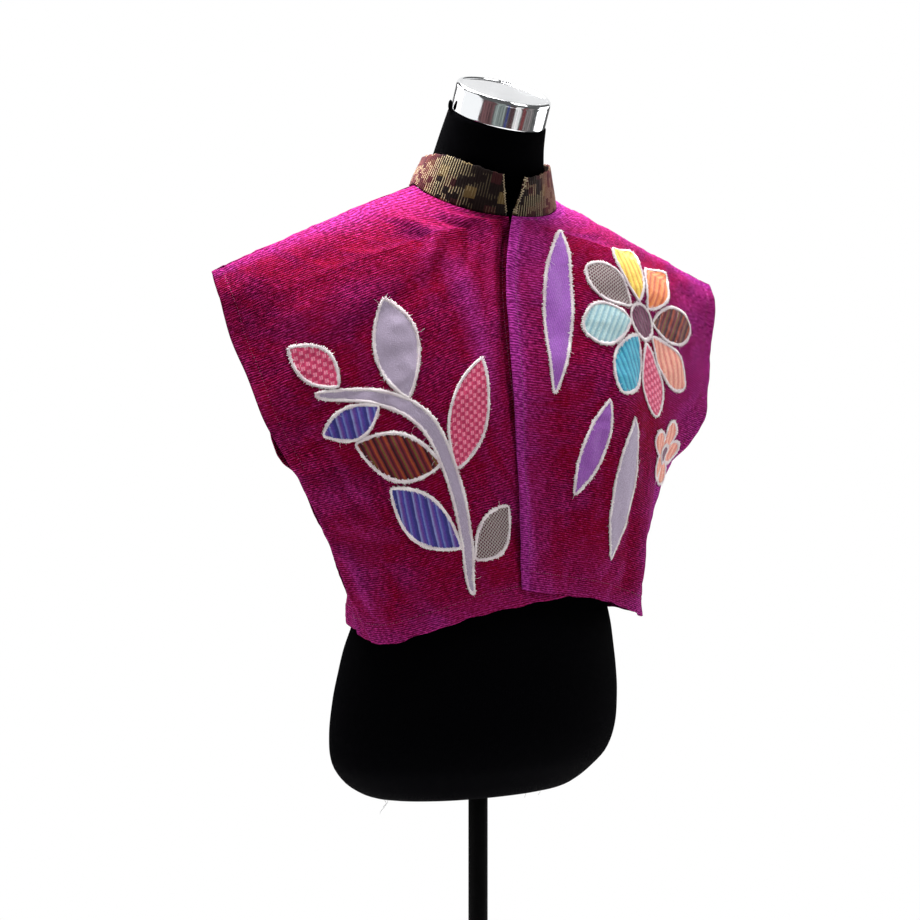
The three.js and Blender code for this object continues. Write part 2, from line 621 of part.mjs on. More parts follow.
const LEAF_CLEAR = 1.2; // space between the stem and the foot of a leaf
function stemLeafOutline({ at, side, spread, ...leaf }) {
  const foot = onStem(at);
  const out = radians(foot.turn + 90 * side);
  const distance = STEM.width / 2 + LEAF_CLEAR;
  return leafOutline({
    ...leaf,
    u: foot.u + distance * Math.cos(out),
    v: foot.v + distance * Math.sin(out),
    turn: foot.turn + spread * side,
  });
}

// Piece of cloth cut to an outline and laid on a front: the front's own surface moved out
// by the lift and by the lift and the cloth, inside a wall that stands on the outline.
const REACH = 12; // how far the wall stands in and out of the front
function patch(side, front, cutLine, lift = GAP) {
  const flat = cutLine.map(([u, v]) => new THREE.Vector2(u, v));
  if (THREE.ShapeUtils.isClockWise(flat)) flat.reverse();
  const rim = flat.map(({ x: u, y: v }) => {
    const [s, t] = [u / FRONT_WIDTH, v / FRONT_LENGTH];
    const here = frontPoint(side, s, t);
    const down = frontPoint(side, s, t + 0.004).sub(here);
    const out = frontPoint(side, s + 0.004, t).sub(here).cross(down).normalize();
    if (out.y > 0) out.negate();
    return [here.clone().addScaledVector(out, REACH), here.clone().addScaledVector(out, -REACH)];
  });
  const caps = THREE.ShapeUtils.triangulateShape(flat, []);
  const count = flat.length;
  const index = [];
  for (const [a, b, c] of caps) index.push(a, b, c, count + c, count + b, count + a);
  for (let i = 0; i < count; i += 1) {
    const next = (i + 1) % count;
    index.push(next, i, count + i, next, count + i, count + next);
  }
  const position = [...rim.map((p) => p[0]), ...rim.map((p) => p[1])].flatMap((p) => p.toArray());
  const wall = toSolid(facesOut(position, index));
  const sheet = toSolid(shellOf(front, lift, lift + PATCH_CLOTH));
  return fromSolid(sheet.intersect(wall));
}

// Petals round a flower's centre
function petalOutline(flower, petal) {
  const heading = radians(petal.turn);
  const u = flower.u + flower.start * Math.cos(heading);
  const v = flower.v + flower.start * Math.sin(heading);
  return leafOutline({ ...petal, u, v, fat: 0.6, peak: 1.3 });
}

// Flower cut in one piece: its edge swings between the waist and the petals' reach
function blossomOutline({ u, v, waist, reach, petals, turn }) {
  return steps(petals * 8).slice(1).map((f) => {
    const angle = 2 * Math.PI * f;
    const radius = lerp(waist, reach, Math.abs(Math.cos((angle * petals) / 2)) ** 0.7);
    const heading = angle + radians(turn);
    return [u + radius * Math.cos(heading), v + radius * Math.sin(heading)];
  });
}

// ---------- build ----------
add('form_body', formBody(), JERSEY);
const cap = add('neck_cap', neckCap(), CHROME);
const neckTop = FORM_SECTIONS[FORM_SECTIONS.length - 1];
cap.rotation.x = radians(NECK_TILT);
cap.position.set(0, neckTop.y, TORSO_BASE + neckTop.h);
cap.position.add(new THREE.Vector3(0, -Math.sin(radians(NECK_TILT)), Math.cos(radians(NECK_TILT)))
  .multiplyScalar(GAP));
add('pole', pole(), SATIN_BLACK);
add('base', base(), SATIN_BLACK);

const rightFront = panel(frontGrid(-1), false);
const leftFront = panel(frontGrid(1), false);
const back = panel(backGrid(), true);
add('front_right', shellOf(rightFront, -CLOTH, 0), COTTON);
add('front_left', shellOf(leftFront, -CLOTH, 0), COTTON);
add('back', shellOf(back, -CLOTH, 0), COTTON);
add('collar', collar(), COLLAR);

for (const [i, leaf] of STEM_LEAVES.entries()) {
  add(`leaf_right_${i + 1}`, patch(-1, rightFront, stemLeafOutline(leaf)), APPLIQUE[leaf.colour]);
}
add(STEM.name, patch(-1, rightFront, stemOutline()), APPLIQUE[STEM.colour]);
for (const leaf of LEFT_LEAVES) {
  add(leaf.name, patch(1, leftFront, leafOutline(leaf)), APPLIQUE[leaf.colour]);
}
PETALS.forEach((petal, i) => {
  add(`flower_petal_${i + 1}`, patch(1, leftFront, petalOutline(FLOWER, petal)), APPLIQUE[petal.colour]);
});
add('flower_centre', patch(1, leftFront, discOutline(FLOWER)), APPLIQUE.plum);
add('small_flower', patch(1, leftFront, blossomOutline(SMALL_FLOWER)), APPLIQUE.peach);
const overFlower = GAP + PATCH_CLOTH + GAP;
add('small_flower_centre', patch(1, leftFront, discOutline(SMALL_FLOWER), overFlower), APPLIQUE.plum);

export default model;
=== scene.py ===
"""Kimono shrug on a limbless dress form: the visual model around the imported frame.

Laid out as an add-on: the property groups hold its sizes and colours, each piece or group of
like pieces has an operator, and main() calls them in order. Lengths are in millimetres until
a mesh is made, and in metres in Blender. +X is the wearer's left and -Y the front.
"""
from functools import partial

import bmesh
import bpy
import numpy as np
from mathutils import Euler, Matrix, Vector


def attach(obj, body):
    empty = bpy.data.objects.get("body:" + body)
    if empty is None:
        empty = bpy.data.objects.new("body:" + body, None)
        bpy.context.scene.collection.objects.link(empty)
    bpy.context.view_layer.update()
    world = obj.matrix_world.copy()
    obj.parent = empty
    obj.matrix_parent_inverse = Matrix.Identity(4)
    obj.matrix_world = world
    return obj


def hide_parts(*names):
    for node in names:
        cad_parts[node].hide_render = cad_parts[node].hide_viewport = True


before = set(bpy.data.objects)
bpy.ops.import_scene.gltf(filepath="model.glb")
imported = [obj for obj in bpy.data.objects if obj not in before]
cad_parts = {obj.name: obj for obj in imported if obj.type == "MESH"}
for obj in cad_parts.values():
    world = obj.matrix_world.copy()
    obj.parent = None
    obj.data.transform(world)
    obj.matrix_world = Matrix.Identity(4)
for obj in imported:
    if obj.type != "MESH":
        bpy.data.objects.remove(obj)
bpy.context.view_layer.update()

bl_info = {
    "name": "Kimono shrug",
    "version": (1, 0, 0),
    "blender": (4, 5, 0),
    "location": "View3D > Sidebar > Shrug",
    "description": "Cropped kimono shrug with applique on a dress form",
    "category": "Add Mesh",
}

# ---------------------------------------------------------------- sizes and tables
MM = 0.001
RIGHT, LEFT = -1, 1  # the wearer's sides
SIDES = (RIGHT, "right"), (LEFT, "left")
COUCHING = "cord", "zigzag", "thread_ends"
TORSO_BASE = 500.0  # the torso's lower edge above the floor
POLE_RADIUS, PLATE_RADIUS, PLATE_FLOOR = 10.5, 155.0, 6.0  # the pole stands on the plate's floor
SOCKET_TOP = 580.0
CAP_RADIUS, CAP_HEIGHT = 51.5, 30.0
NECK_TOP, NECK_Y, NECK_TILT = 716.0, -41.0, 27.0  # the neck's slanted top, under the cap
STAND_GAP = 0.3  # under the cap, round the pole and over its end
FRONT_WIDTH, FRONT_LENGTH = 290.0, 440.0  # flat front: edge to sleeve edge, shoulder to hem
NECK_PART = 0.12  # share of the front's length taken by the neckline
NECK_ANGLE = {RIGHT: 86.4, LEFT: 92.0}  # degrees round the neckline to each front edge
NECK_SHARE = 1 / 3  # share of the back's half width taken by the neckline
UNDERARM = 0.54  # share of the length where the sleeve edge becomes the side seam
LEFT_LIFT, LIFT_CURVE = 17.5, 1.4  # the left sleeve tip hangs this much higher
SEAM_SHARE = 0.03  # half of the space between two pieces at a seam
SEAM_TURN = 14.0  # width in which a wall turns into the seam's direction
FRONT_HEM, SLEEVE_HEM = 10.0, 13.0
PATCH_GAP, PATCH_CLOTH = 0.3, 0.8
STITCH_PITCH, STITCH_LENGTH = 3.6, 2.6
FAR = 99.0  # a distance past every stitch and seam
# Half width, half height and number of sides of each thread's oval section
ZIGZAG_THREAD, LOOSE_END, SEWING_THREAD = (0.42, 0.34, 5), (0.15, 0.15, 3), (0.3, 0.28, 5)
JERSEY_THREAD, COLLAR_THREAD = (0.16, 0.16, 4), (0.34, 0.3, 5)


def table(names, *rows):
    """Short table with named columns, each kept as an array."""
    return {name: np.array(column, float) for name, column in zip(names.split(), zip(*rows))}


def pair(u0, v0, u1, v1, bow, *sizes):
    """A fold of the back and the same one on its other side."""
    return (u0, v0, u1, v1, bow, *sizes), (-u0, v0, -u1, v1, -bow, *sizes)


# Neckline and the collar's top: ellipses seen from above, the heights of three points and
# how soon the edge falls from the side to the front
NECKLINE = dict(width=85, depth=62, centre_y=-11, front=607.5, side=643, back=652, scoop=0.7)
COLLAR_TOP = dict(width=70, depth=66, centre_y=-17.5, front=648, side=675, back=686, scoop=0)
COLLAR_ENDS = (91, 83), (-264.6, -256)  # degrees round the neck at the foot and top of each
COLLAR_LIFT, COLLAR_CLOTH, COLLAR_HEIGHT = 1.4, 2.2, 36.0
NECK_DEGREE = 1.32  # millimetres round the neck to a degree
JERSEY_ROUND = 700.0  # jersey round the torso, unstretched

# Torso and neck: height, half width, half depth, centre in Y, squareness and forward tilt
FORM_SECTIONS = table(
    "t width depth y square tilt",
    (-11, 90, 55, 20, 2.1, -3), (-8, 112, 71, 20, 2.1, -3), (-1, 129, 84, 21, 2.1, -3),
    (11, 145, 96, 20, 2.1, -3), (31, 160, 106, 14, 2.1, -2), (60, 166, 111, 7, 2.1, -1),
    (97, 165, 110, 1, 2.1, 0), (126, 161, 108, -3, 2.1, 0), (152, 156, 106, -6, 2.1, 0),
    (178, 149, 102, -11, 2.1, 0), (215, 138, 97, -13, 2.1, 0), (255, 128, 92, -14, 2.1, 0),
    (300, 128, 93, -14, 2.1, 0), (345, 137, 100, -15, 2.1, 0), (390, 147, 104, -16, 2.1, 0),
    (435, 153, 102, -14, 2.2, 0), (480, 162, 95, -11, 2.3, 0), (522, 170, 86, -8, 2.4, 0),
    (557, 176, 75, -6, 2.3, 0), (578, 177, 65, -6, 2.1, 0), (593, 174, 55, -6, 2, 0),
    (603, 167.5, 50.5, -6, 2, 0), (613, 139, 43, -4, 2, 0), (622, 100, 39, -3, 2, 0),
    (631, 80, 41, -6, 2, 0), (642, 72, 46, -10, 2, 2), (653, 69, 49, -14, 2, 6),
    (671, 62.5, 54, -21, 2, 12), (694, 57, 54, -30, 2, 20), (716, 53, 53, -41, 2, 27),
)
# Garment, by share of the length t: places in plan (x, y) and heights h above the torso's
# edge, or drops as a share of the way from the inner to the outer edge
RIGHT_EDGE = table(
    "t x y h",
    (0.12, 5.4, -73, 607.8), (0.17, 3, -77, 588), (0.25, 12, -88.5, 552), (0.34, 19, -101.5, 512),
    (0.51, 23, -123, 432), (0.68, 12, -127, 352), (0.84, -15, -128, 280), (1, -42, -126.5, 212),
)
LEFT_EDGE = table(
    "t x y h",
    (0.12, -3, -74.5, 607.5), (0.17, -11, -83, 590), (0.25, -24, -96, 552), (0.34, -30, -109, 507),
    (0.51, -35, -129, 422), (0.68, -32, -132.5, 350), (0.84, -29, -133, 285), (1, -26, -132.5, 220),
)
FRONT_ROWS = table(
    "t chest_x chest_y chest_drop turn_x turn_y turn_drop",
    (0, 150, -6, 0.27, 240, -6, 0.665), (0.025, 138, -34, 0.22, 236, -19, 0.65),
    (0.06, 126, -56, 0.22, 231, -31, 0.64), (0.12, 116, -75, 0.28, 222, -46, 0.66),
    (0.25, 106, -97, 0.25, 200, -68, 0.64), (0.34, 104, -109, 0.24, 188, -80, 0.63),
    (0.51, 98, -124, 0.27, 170, -94, 0.68), (0.68, 88, -127, 0.32, 159, -97, 0.74),
    (0.84, 78, -125, 0.4, 156, -93, 0.86), (1, 74, -121, 0.42, 155, -89, 1.01),
)
BACK_ROWS = table(
    "t y h blade_x blade_y blade_drop turn_x turn_y turn_drop",
    (0.025, 53, 642, 122, 26, 0.2, 232, 7, 0.63), (0.06, 57, 626, 114, 46, 0.24, 226, 18, 0.64),
    (0.12, 65, 600, 112, 58, 0.26, 216, 30, 0.65), (0.25, 84, 541, 112, 76, 0.28, 195, 46, 0.66),
    (0.34, 90, 500, 110, 81, 0.28, 184, 49, 0.66), (0.51, 94, 424, 108, 84, 0.28, 172, 46, 0.66),
    (0.68, 97, 345, 104, 84, 0.28, 159, 31, 0.66), (0.84, 103, 265, 101, 87, 0.28, 147, 22, 0.6),
    (1, 110, 184, 99, 92, 0.1, 147.5, 19, 0.3),
)
FRONT_SLEEVE = table(
    "t x y h",
    (0, 311, -6, 539), (0.08, 308, -19, 512), (0.18, 298.5, -24, 472), (0.28, 285.5, -36, 433),
    (0.38, 273, -47, 391), (0.47, 254, -48, 360), (0.54, 232, -37, 334),
)
BACK_SLEEVE = table(
    "t x y h",
    (0, 311, -6, 539), (0.08, 297, 4, 512), (0.18, 272, 9, 472), (0.28, 253, 8, 433),
    (0.38, 247, 0, 391), (0.47, 244, -17, 356), (0.54, 232, -37, 334),
)
SIDE_SEAM = table(
    "t x y h",
    (0.54, 232, -37, 334), (0.68, 206, -37.5, 283), (0.81, 185.5, -39, 237), (0.9, 175, -46, 204),
    (1, 161, -62, 168),
)

# Folds on the flat cloth, u from the front edge and v from the shoulder: a stroke from
# (u0, v0) to (u1, v1) bowed to its side, its half width, its height (a trough is below
# zero) and how much of the violet thread it shows, a painted sheen and highlight where the fold turns to the
# light
FOLD = "u0 v0 u1 v1 bow width height violet"
FOLDS = {
    RIGHT: table(
        FOLD,
        (56, 14, 104, 96, -5, 10, 5.6, 0.1), (80, 74, 42, 236, 10, 13, 3.4, 0.9),
        (16, 150, 12, 270, 3, 9, -4.6, 0), (24, 28, 23, 210, -3, 6.5, 6.0, 0.1),
        (6, 36, 5, 220, -1, 6, -9.5, 0), (38, 28, 58, 100, -3, 6.5, -4.4, 0),
        (124, 84, 262, 80, 8, 28, 5.0, 0.15), (292, 16, 292, 236, 0, 9, 1.8, 0.4),
        (262, 180, 212, 168, 0, 4.5, -1.7, 0), (268, 196, 214, 184, 0, 5, 1.8, 0.1),
        (274, 214, 221, 203, 0, 5, -1.9, 0), (240, 130, 196, 120, 3, 6, -1.0, 0),
        (248, 214, 214, 316, -8, 10, -2.2, 0), (270, 262, 200, 272, 6, 14, 3.0, 0.15),
        (264, 326, 196, 338, 6, 13, -3.0, 0), (276, 322, 262, 410, 8, 9, 2.8, 0.5),
        (60, 190, 22, 330, 12, 16, 1.4, 0.2), (100, 230, 60, 420, 14, 18, -1.4, 0),
        (50, 434, 276, 434, 0, 22, 3.2, 0.2), (190, 350, 186, 436, 4, 12, 1.8, 0.1),
        (126, 390, 122, 440, 3, 9, -1.6, 0), (38, 300, 30, 436, 5, 12, 1.4, 0.1),
    ),
    LEFT: table(
        FOLD,
        (2, 46, 6, 250, -2, 8, 2.4, 0.3), (24, 56, 42, 150, 0, 15, 2.2, 0.45),
        (14, 40, 30, 60, 2, 4, 0.9, 0.2), (8, 318, 17, 424, 3, 7, 1.7, 0.6),
        (10, 232, 52, 229, 1, 2.4, -0.9, 0), (22, 136, 48, 133, 2, 3, 0.9, 0.2),
        (20, 186, 160, 194, 6, 20, 2.6, 0.1), (18, 238, 112, 243, 2, 4, -1.3, 0),
        (16, 262, 92, 268, 2, 4, 1.1, 0.1), (22, 284, 122, 296, 2, 4, -1.4, 0),
        (20, 308, 84, 315, 2, 3.6, 1.0, 0.1), (30, 336, 150, 344, 4, 13, -1.6, 0),
        (56, 398, 176, 392, 4, 22, 2.4, 0.3), (8, 437, 282, 437, 0, 13, 2.2, 0.35),
        (170, 300, 176, 430, 6, 12, -2.4, 0), (206, 270, 214, 436, 8, 14, 3, 0.5),
        (250, 250, 246, 420, 6, 12, -3, 0), (272, 240, 268, 400, 5, 9, 2.6, 0.6),
        (238, 60, 222, 180, 8, 14, 2, 0.4), (90, 74, 262, 72, 8, 26, 3.6, 0.2),
        (176, 40, 262, 52, -6, 11, -1.0, 0), (292, 16, 292, 236, 0, 9, 1.6, 0.4),
    ),
    0: table(  # the back, u from its middle
        FOLD,
        (-70, 34, -60, 180, 8, 16, 1.6, 0.2), (64, 40, 74, 190, -8, 16, 1.6, 0.2),
        (-34, 60, -20, 260, 8, 14, -0.8, 0), (30, 150, 22, 330, -8, 18, 1.6, 0.2),
        *pair(-150, 60, -236, 150, 12, 14, 2.6, 0.4), *pair(-176, 84, -226, 190, 10, 12, -2.4, 0),
        *pair(-206, 210, -180, 420, 10, 13, 3, 0.4), *pair(-236, 240, -222, 450, 6, 11, -3, 0),
        *pair(-262, 250, -256, 430, 5, 8, 2.6, 0.5),
        (-130, 250, -118, 450, 8, 16, 2.6, 0.3), (126, 260, 120, 450, -8, 16, 2.4, 0.3),
        (-90, 280, -84, 460, 6, 13, -1, 0), (88, 300, 80, 460, -6, 13, -1, 0),
        (-40, 320, -46, 464, 6, 15, 2.2, 0.3), (10, 350, 6, 466, 5, 12, 1.8, 0.2),
        (52, 330, 50, 464, 5, 13, 2, 0.3), (-276, 372, -250, 455, 3, 5, 2.2, 0.4),
    ),
}

# Applique: u, v as above; turn is the way a piece points in degrees (0 towards the sleeve,
# 90 down), bend how far it curves, fat and peak shape its two ends
STEM_WIDTH, STEM_LENGTH, LEAF_CLEAR = 15.0, 300.0, 1.2
STEM_ROUTE = table(
    "t u v", (0, 136, 412), (0.2, 118, 352), (0.4, 112, 290), (0.6, 128, 230), (0.8, 172, 186), (1, 232, 162),
)
STEM_LEAVES = (  # fabric, place on the stem, side, angle from it, length, width, bend
    ("black_stripe", 0.13, -1, 46, 76, 38, 14), ("indigo_stripe", 0.17, 1, 54, 98, 48, -18),
    ("pink_check", 0.42, -1, 40, 104, 50, 14), ("red_stripe", 0.46, 1, 56, 100, 46, -20),
    ("lavender", 0.7, -1, 46, 98, 44, 16), ("indigo_stripe", 0.79, 1, 48, 66, 34, -14),
    ("pink_check", 0.93, -1, 40, 62, 33, 10),
)
FLOWER = dict(u=160, v=122, start=21, centre=18)
PETALS = (  # fabric, turn, length, width
    ("yellow", -112, 76, 41), ("orange", -68, 76, 41), ("red_stripe", -23, 72, 41),
    ("peach", 22, 70, 41), ("pink_check", 67, 72, 41), ("turquoise", 112, 72, 41),
    ("aqua", 157, 66, 40), ("black_stripe", -157, 62, 39),
)
SMALL_FLOWER = dict(u=240, v=240, waist=17, reach=40, petals=5, turn=-90, centre=11)
LEFT_LEAVES = (  # fabric, u, v, turn, length, width, bend
    ("violet", 52, 52, 86, 168, 30, 34), ("lavender", 152, 228, 94, 160, 34, 16),
    ("violet", 112, 220, 106, 112, 28, 22),
)


# ---------------------------------------------------------------- curves
def smooth(x, low, high):
    """0 below low, 1 above high and 3f^2 - 2f^3 between them."""
    f = np.clip((x - low) / (high - low), 0, 1)
    return f * f * (3 - 2 * f)


def bell(x, width):
    """exp(-(x / width)^2)"""
    return np.exp(-np.square(x / width))


def lerp(a, b, f):
    """a + (b - a) f"""
    return a + (b - a) * f


def stack(*columns):
    """Arrays or numbers, spread to one shape, as the columns of one array."""
    return np.stack(np.broadcast_arrays(*columns), axis=-1).astype(float)


def circle(steps):
    """Even angles once round, in radians."""
    return np.linspace(0, 2 * np.pi, steps, endpoint=False)


def grid(*axes):
    """Every combination of the axes' values, the last one running fastest, as flat arrays."""
    return [values.ravel() for values in np.meshgrid(*axes, indexing="ij")]


def unit(vectors):
    """The vectors at a length of one."""
    return vectors / np.maximum(np.linalg.norm(vectors, axis=-1, keepdims=True), 1e-12)


def cubic(a, b, slope_a, slope_b, f):
    """Hermite cubic from a to b, with slopes for the whole of f = 0..1."""
    return (a * (1 + f * f * (2 * f - 3)) + b * f * f * (3 - 2 * f)
            + slope_a * f * (1 - f) ** 2 - slope_b * f * f * (1 - f))


def follow(rows, at, *names):
    """Smooth curves through a table's rows: cubics with the chord between a row's
    neighbours as its slope."""
    t = rows["t"]
    last = len(t) - 1
    at = np.clip(at, t[0], t[last])
    i = np.clip(np.searchsorted(t, at, side="right") - 1, 0, last - 1)
    row = np.arange(last + 1)
    before, after = np.maximum(row - 1, 0), np.minimum(row + 1, last)
    span = t[i + 1] - t[i]
    f = (at - t[i]) / span
    curves = []
    for name in names:
        value = rows[name]
        slope = (value[after] - value[before]) / (t[after] - t[before])
        curves.append(cubic(value[i], value[i + 1], slope[i] * span, slope[i + 1] * span, f))
    return curves


def across(points, s):
    """The same kind of curve through four points of every row, spaced by their distances
    in plan."""
    p = np.stack(points)
    steps = np.linalg.norm(np.diff(p[..., :2], axis=0), axis=-1)
    knot = np.concatenate([np.zeros_like(steps[:1]), np.cumsum(steps, axis=0)])
    knot /= knot[-1]
    before, after = [0, 0, 1, 2], [1, 2, 3, 3]
    slope = (p[after] - p[before]) / (knot[after] - knot[before])[..., None]
    i = (s > knot[1]).astype(int) + (s > knot[2])
    n = np.arange(len(s))
    span = (knot[i + 1, n] - knot[i, n])[:, None]
    f = (s - knot[i, n])[:, None] / span
    return cubic(p[i, n], p[i + 1, n], slope[i, n] * span, slope[i + 1, n] * span, f)


def round_neck(ring, degrees, side):
    """Ellipse round the neck: 0 is the side, 90 the front and -90 the back. The height goes
    from the side's to the back's with sin^2, and to the front's with a mix of sin^2 and
    1 - (1 - sin)^1.4."""
    angle = np.radians(degrees)
    rise = np.sin(angle)
    scooped = lerp(rise ** 2, 1 - np.abs(1 - rise) ** 1.4, ring["scoop"])
    h = np.where(degrees > 0, lerp(ring["side"], ring["front"], scooped),
                 lerp(ring["side"], ring["back"], rise ** 2))
    x, y = ring["width"] * np.cos(angle), ring["centre_y"] - ring["depth"] * np.sin(angle)
    return stack(side * x, y, TORSO_BASE + h)


# ---------------------------------------------------------------- garment surfaces
def outer_edge(sleeve, t):
    """Sleeve edge from the shoulder's tip to the underarm, and the side seam below it."""
    names = ("x", "y", "h")
    return np.where((t < UNDERARM)[:, None], stack(*follow(sleeve, t, *names)),
                    stack(*follow(SIDE_SEAM, t, *names)))


def front_base(side, s, t):
    """Front without folds: s from front edge to outer edge, t from shoulder to hem. Each
    row is a smooth curve through front edge, chest line, turn and outer edge."""
    chest_x, chest_y, chest_drop, turn_x, turn_y, turn_drop = follow(
        FRONT_ROWS, t, "chest_x", "chest_y", "chest_drop", "turn_x", "turn_y", "turn_drop")
    outer = outer_edge(FRONT_SLEEVE, t)
    edge = stack(*follow(LEFT_EDGE if side > 0 else RIGHT_EDGE, t, "x", "y", "h"))
    ring = round_neck(NECKLINE, t / NECK_PART * NECK_ANGLE[side], 1) - (0, 0, TORSO_BASE)
    inner = np.where((t < NECK_PART)[:, None], ring, edge)
    over = -lerp(4, 6, t) * np.minimum(1, t / NECK_PART) if side > 0 else 0
    chest = stack(chest_x, chest_y + over, lerp(inner[:, 2], outer[:, 2], chest_drop))
    turn = stack(turn_x, turn_y, lerp(inner[:, 2], outer[:, 2], turn_drop))
    place = across([inner, chest, turn, outer], s)
    if side > 0:
        place[:, 2] += LEFT_LIFT * s ** LIFT_CURVE
    apart = np.maximum(smooth(s, 0.985, 1) * smooth(t, UNDERARM - 0.02, UNDERARM), smooth(-t, -0.01, 0))
    return stack(side * place[:, 0], place[:, 1] - SEAM_SHARE * apart, TORSO_BASE + place[:, 2])


def back_base(c, t):
    """Back without folds: c from the right (-1) over the middle (0) to the left (1). Its
    first rows pass from the neckline and the shoulder seam into the table's rows."""
    side, s = np.where(c < 0, -1.0, 1.0), np.abs(c)
    y, h, blade_x, blade_y, blade_drop, turn_x, turn_y, turn_drop = follow(
        BACK_ROWS, t, "y", "h", "blade_x", "blade_y", "blade_drop", "turn_x", "turn_y", "turn_drop")
    outer = outer_edge(BACK_SLEEVE, t)
    blade = stack(blade_x, blade_y, lerp(h, outer[:, 2], blade_drop))
    turn = stack(turn_x, turn_y, lerp(h, outer[:, 2], turn_drop))
    place = across([stack(0, y, h), blade, turn, outer], s)
    place[:, 2] += np.where(side > 0, LEFT_LIFT * s ** LIFT_CURVE, 0)
    apart = SEAM_SHARE * smooth(s, 0.985, 1) * smooth(t, UNDERARM - 0.02, UNDERARM)
    low = stack(side * place[:, 0], place[:, 1] + apart, TORSO_BASE + place[:, 2])
    first = BACK_ROWS["t"][0]
    neck = round_neck(NECKLINE, -90 * (1 - np.minimum(1, s / NECK_SHARE)), side)
    shoulder_s = np.clip((s - NECK_SHARE) / (1 - NECK_SHARE), 0, 1)
    left, right = (front_base(k, shoulder_s, np.zeros_like(s)) for k in (LEFT, RIGHT))
    shoulder = np.where((side > 0)[:, None], left, right) + (0, 2 * SEAM_SHARE, 0)
    top = np.where((s < NECK_SHARE)[:, None], neck, shoulder)
    return lerp(top, low, np.clip(t / first, 0, 1)[:, None])


def flat_base(side, u, v):
    """Base surface at flat places in millimetres; side 0 is the back, u from its middle."""
    s, t = u / FRONT_WIDTH, v / FRONT_LENGTH
    return front_base(side, s, t) if side else back_base(s, t)


def seams(side, u, v):
    """Distance from the side seam and from the shoulder seam, each with its share: the outer
    edge is a seam below the underarm and open above it, and a neckline is far from a seam."""
    out, underarm = np.abs(u), UNDERARM * FRONT_LENGTH
    shoulder = np.where(side or out > FRONT_WIDTH * NECK_SHARE, v, FAR)
    return (FRONT_WIDTH - out, smooth(v, underarm - 16, underarm)), (shoulder, 1)


def base_normals(side, u, v):
    """The base surface there and its unit normals away from the body, from its slopes
    along u and v over one millimetre. At the side and shoulder seams they turn into the
    seam's own direction, so that the two walls there stand side by side."""
    here = flat_base(side, u, v)
    du = np.where(u > 0, -1.0, 1.0)
    dv = np.where(v > FRONT_LENGTH / 2, -1.0, 1.0)
    along = (flat_base(side, u + du, v) - here) * du[:, None]
    down = (flat_base(side, u, v + dv) - here) * dv[:, None]
    normal = unit(np.cross(down, along))
    away = stack(here[:, 0] * 0.3, -60 if side else 60, 40)
    normal = normal * np.where((normal * away).sum(axis=1) < 0, -1, 1)[:, None]
    ways = unit(stack(np.sign(here[:, 0]), -0.25, 0)), unit(stack(0 * u, 0, 1))
    for (distance, share), way in zip(seams(side, u, v), ways):
        turned = share * np.clip(1 - distance / SEAM_TURN, 0, 1)
        normal = unit(lerp(normal, way, turned[:, None]))
    return here, normal


def ripple(u, v, length, seed):
    """Soft unevenness of about -1..1: the sum of nine plane waves of roughly this length, in
    seeded directions, over the root of twice their number."""
    rng, waves = np.random.default_rng(seed), 9
    turn, phase = rng.uniform(0, 2 * np.pi, (2, waves))
    number = 2 * np.pi / (length * rng.uniform(0.7, 1.4, waves))
    way = u[:, None] * np.cos(turn) + v[:, None] * np.sin(turn)
    return np.sin(way * number + phase).sum(axis=1) / np.sqrt(2 * waves)


def strokes(folds, u, v):
    """Sum of the fold table's strokes: a bell across a bowed line that fades at both ends.
    Gives the heights and the violet, a painted sheen and highlight."""
    du, dv = folds["u1"] - folds["u0"], folds["v1"] - folds["v0"]
    length = np.hypot(du, dv)
    x, y = u[:, None] - folds["u0"], v[:, None] - folds["v0"]
    f = (x * du + y * dv) / length ** 2
    off = (y * du - x * dv) / length - folds["bow"] * 4 * f * (1 - f)
    weight = bell(off, folds["width"]) * smooth(f, -0.12, 0.3) * smooth(-f, -1.12, -0.7)
    return (weight * folds["height"]).sum(axis=1), (weight * folds["violet"]).sum(axis=1)


def relief(side, u, v):
    """Folds, hang, seams and hems of a panel as a height over its base surface, and the
    violet of the same places, a painted sheen and highlight."""
    sizes = bpy.context.scene.shrug_sizes
    height, violet = strokes(FOLDS[side], u, v)
    height *= sizes.fold_depth
    out, low = np.abs(u), FRONT_LENGTH - v
    # unevenness of the hanging cloth, from broad to fine, and its wavier lower edge
    free = smooth(v, 150, 330) * 0.7 + smooth(out, 150, 250) * 0.5
    height += (0.5 + 0.9 * free) * ripple(u, v, 85, 10 + side) + 0.75 * ripple(u, v, 36, 20 + side)
    height += 0.3 * ripple(0.6 * u, v, 14, 30 + side)
    height += smooth(-low, -120, 0) ** 2 * 2.0 * ripple(u, 0.3 * v, 60, 40 + side)
    # hems: distance from the edge, depth and how much each shows, a step with a sunk and
    # puckered line of stitches
    (outer, below), (shoulder, _) = seams(side, u, v)
    hems = [(low, sizes.hem_depth / MM, 1.0)]
    if side:
        hems.append((np.where(v > 30, u, FAR), FRONT_HEM, 0.8))
    hems.append((outer, SLEEVE_HEM, 0.8 * (1 - below)))
    for distance, depth, amount in hems:
        line = distance - depth
        height += amount * (0.3 * smooth(-line, -1, 1) - 0.5 * bell(line, 1.2)
                            + 0.45 * bell(line, 4.5) * ripple(u, v, 8, 50 + side))
    # seams: a groove with a puckered ridge beside it
    for distance, share in (outer, below), (shoulder, 1):
        ridge = 0.4 * bell(distance - 4, 3) * (1 + ripple(u, v, 10, 60))
        height += share * (ridge - 0.9 * bell(distance, 1.6))
    # no trough reaches deeper than the space behind it
    room = 1.0 + 7 * smooth(out, 150, 230) * smooth(v, 60, 160) + 3 * smooth(v, 200, 330)
    if side == RIGHT:  # it passes under the left front
        deep = 2.2 * smooth(v, 30, 50) + 6 * smooth(v, 34, 50) * smooth(-v, -96, -68)
        room = room + deep * smooth(-u, -80, -40) * smooth(-v, -330, -270)
    return np.maximum(height, -room), violet


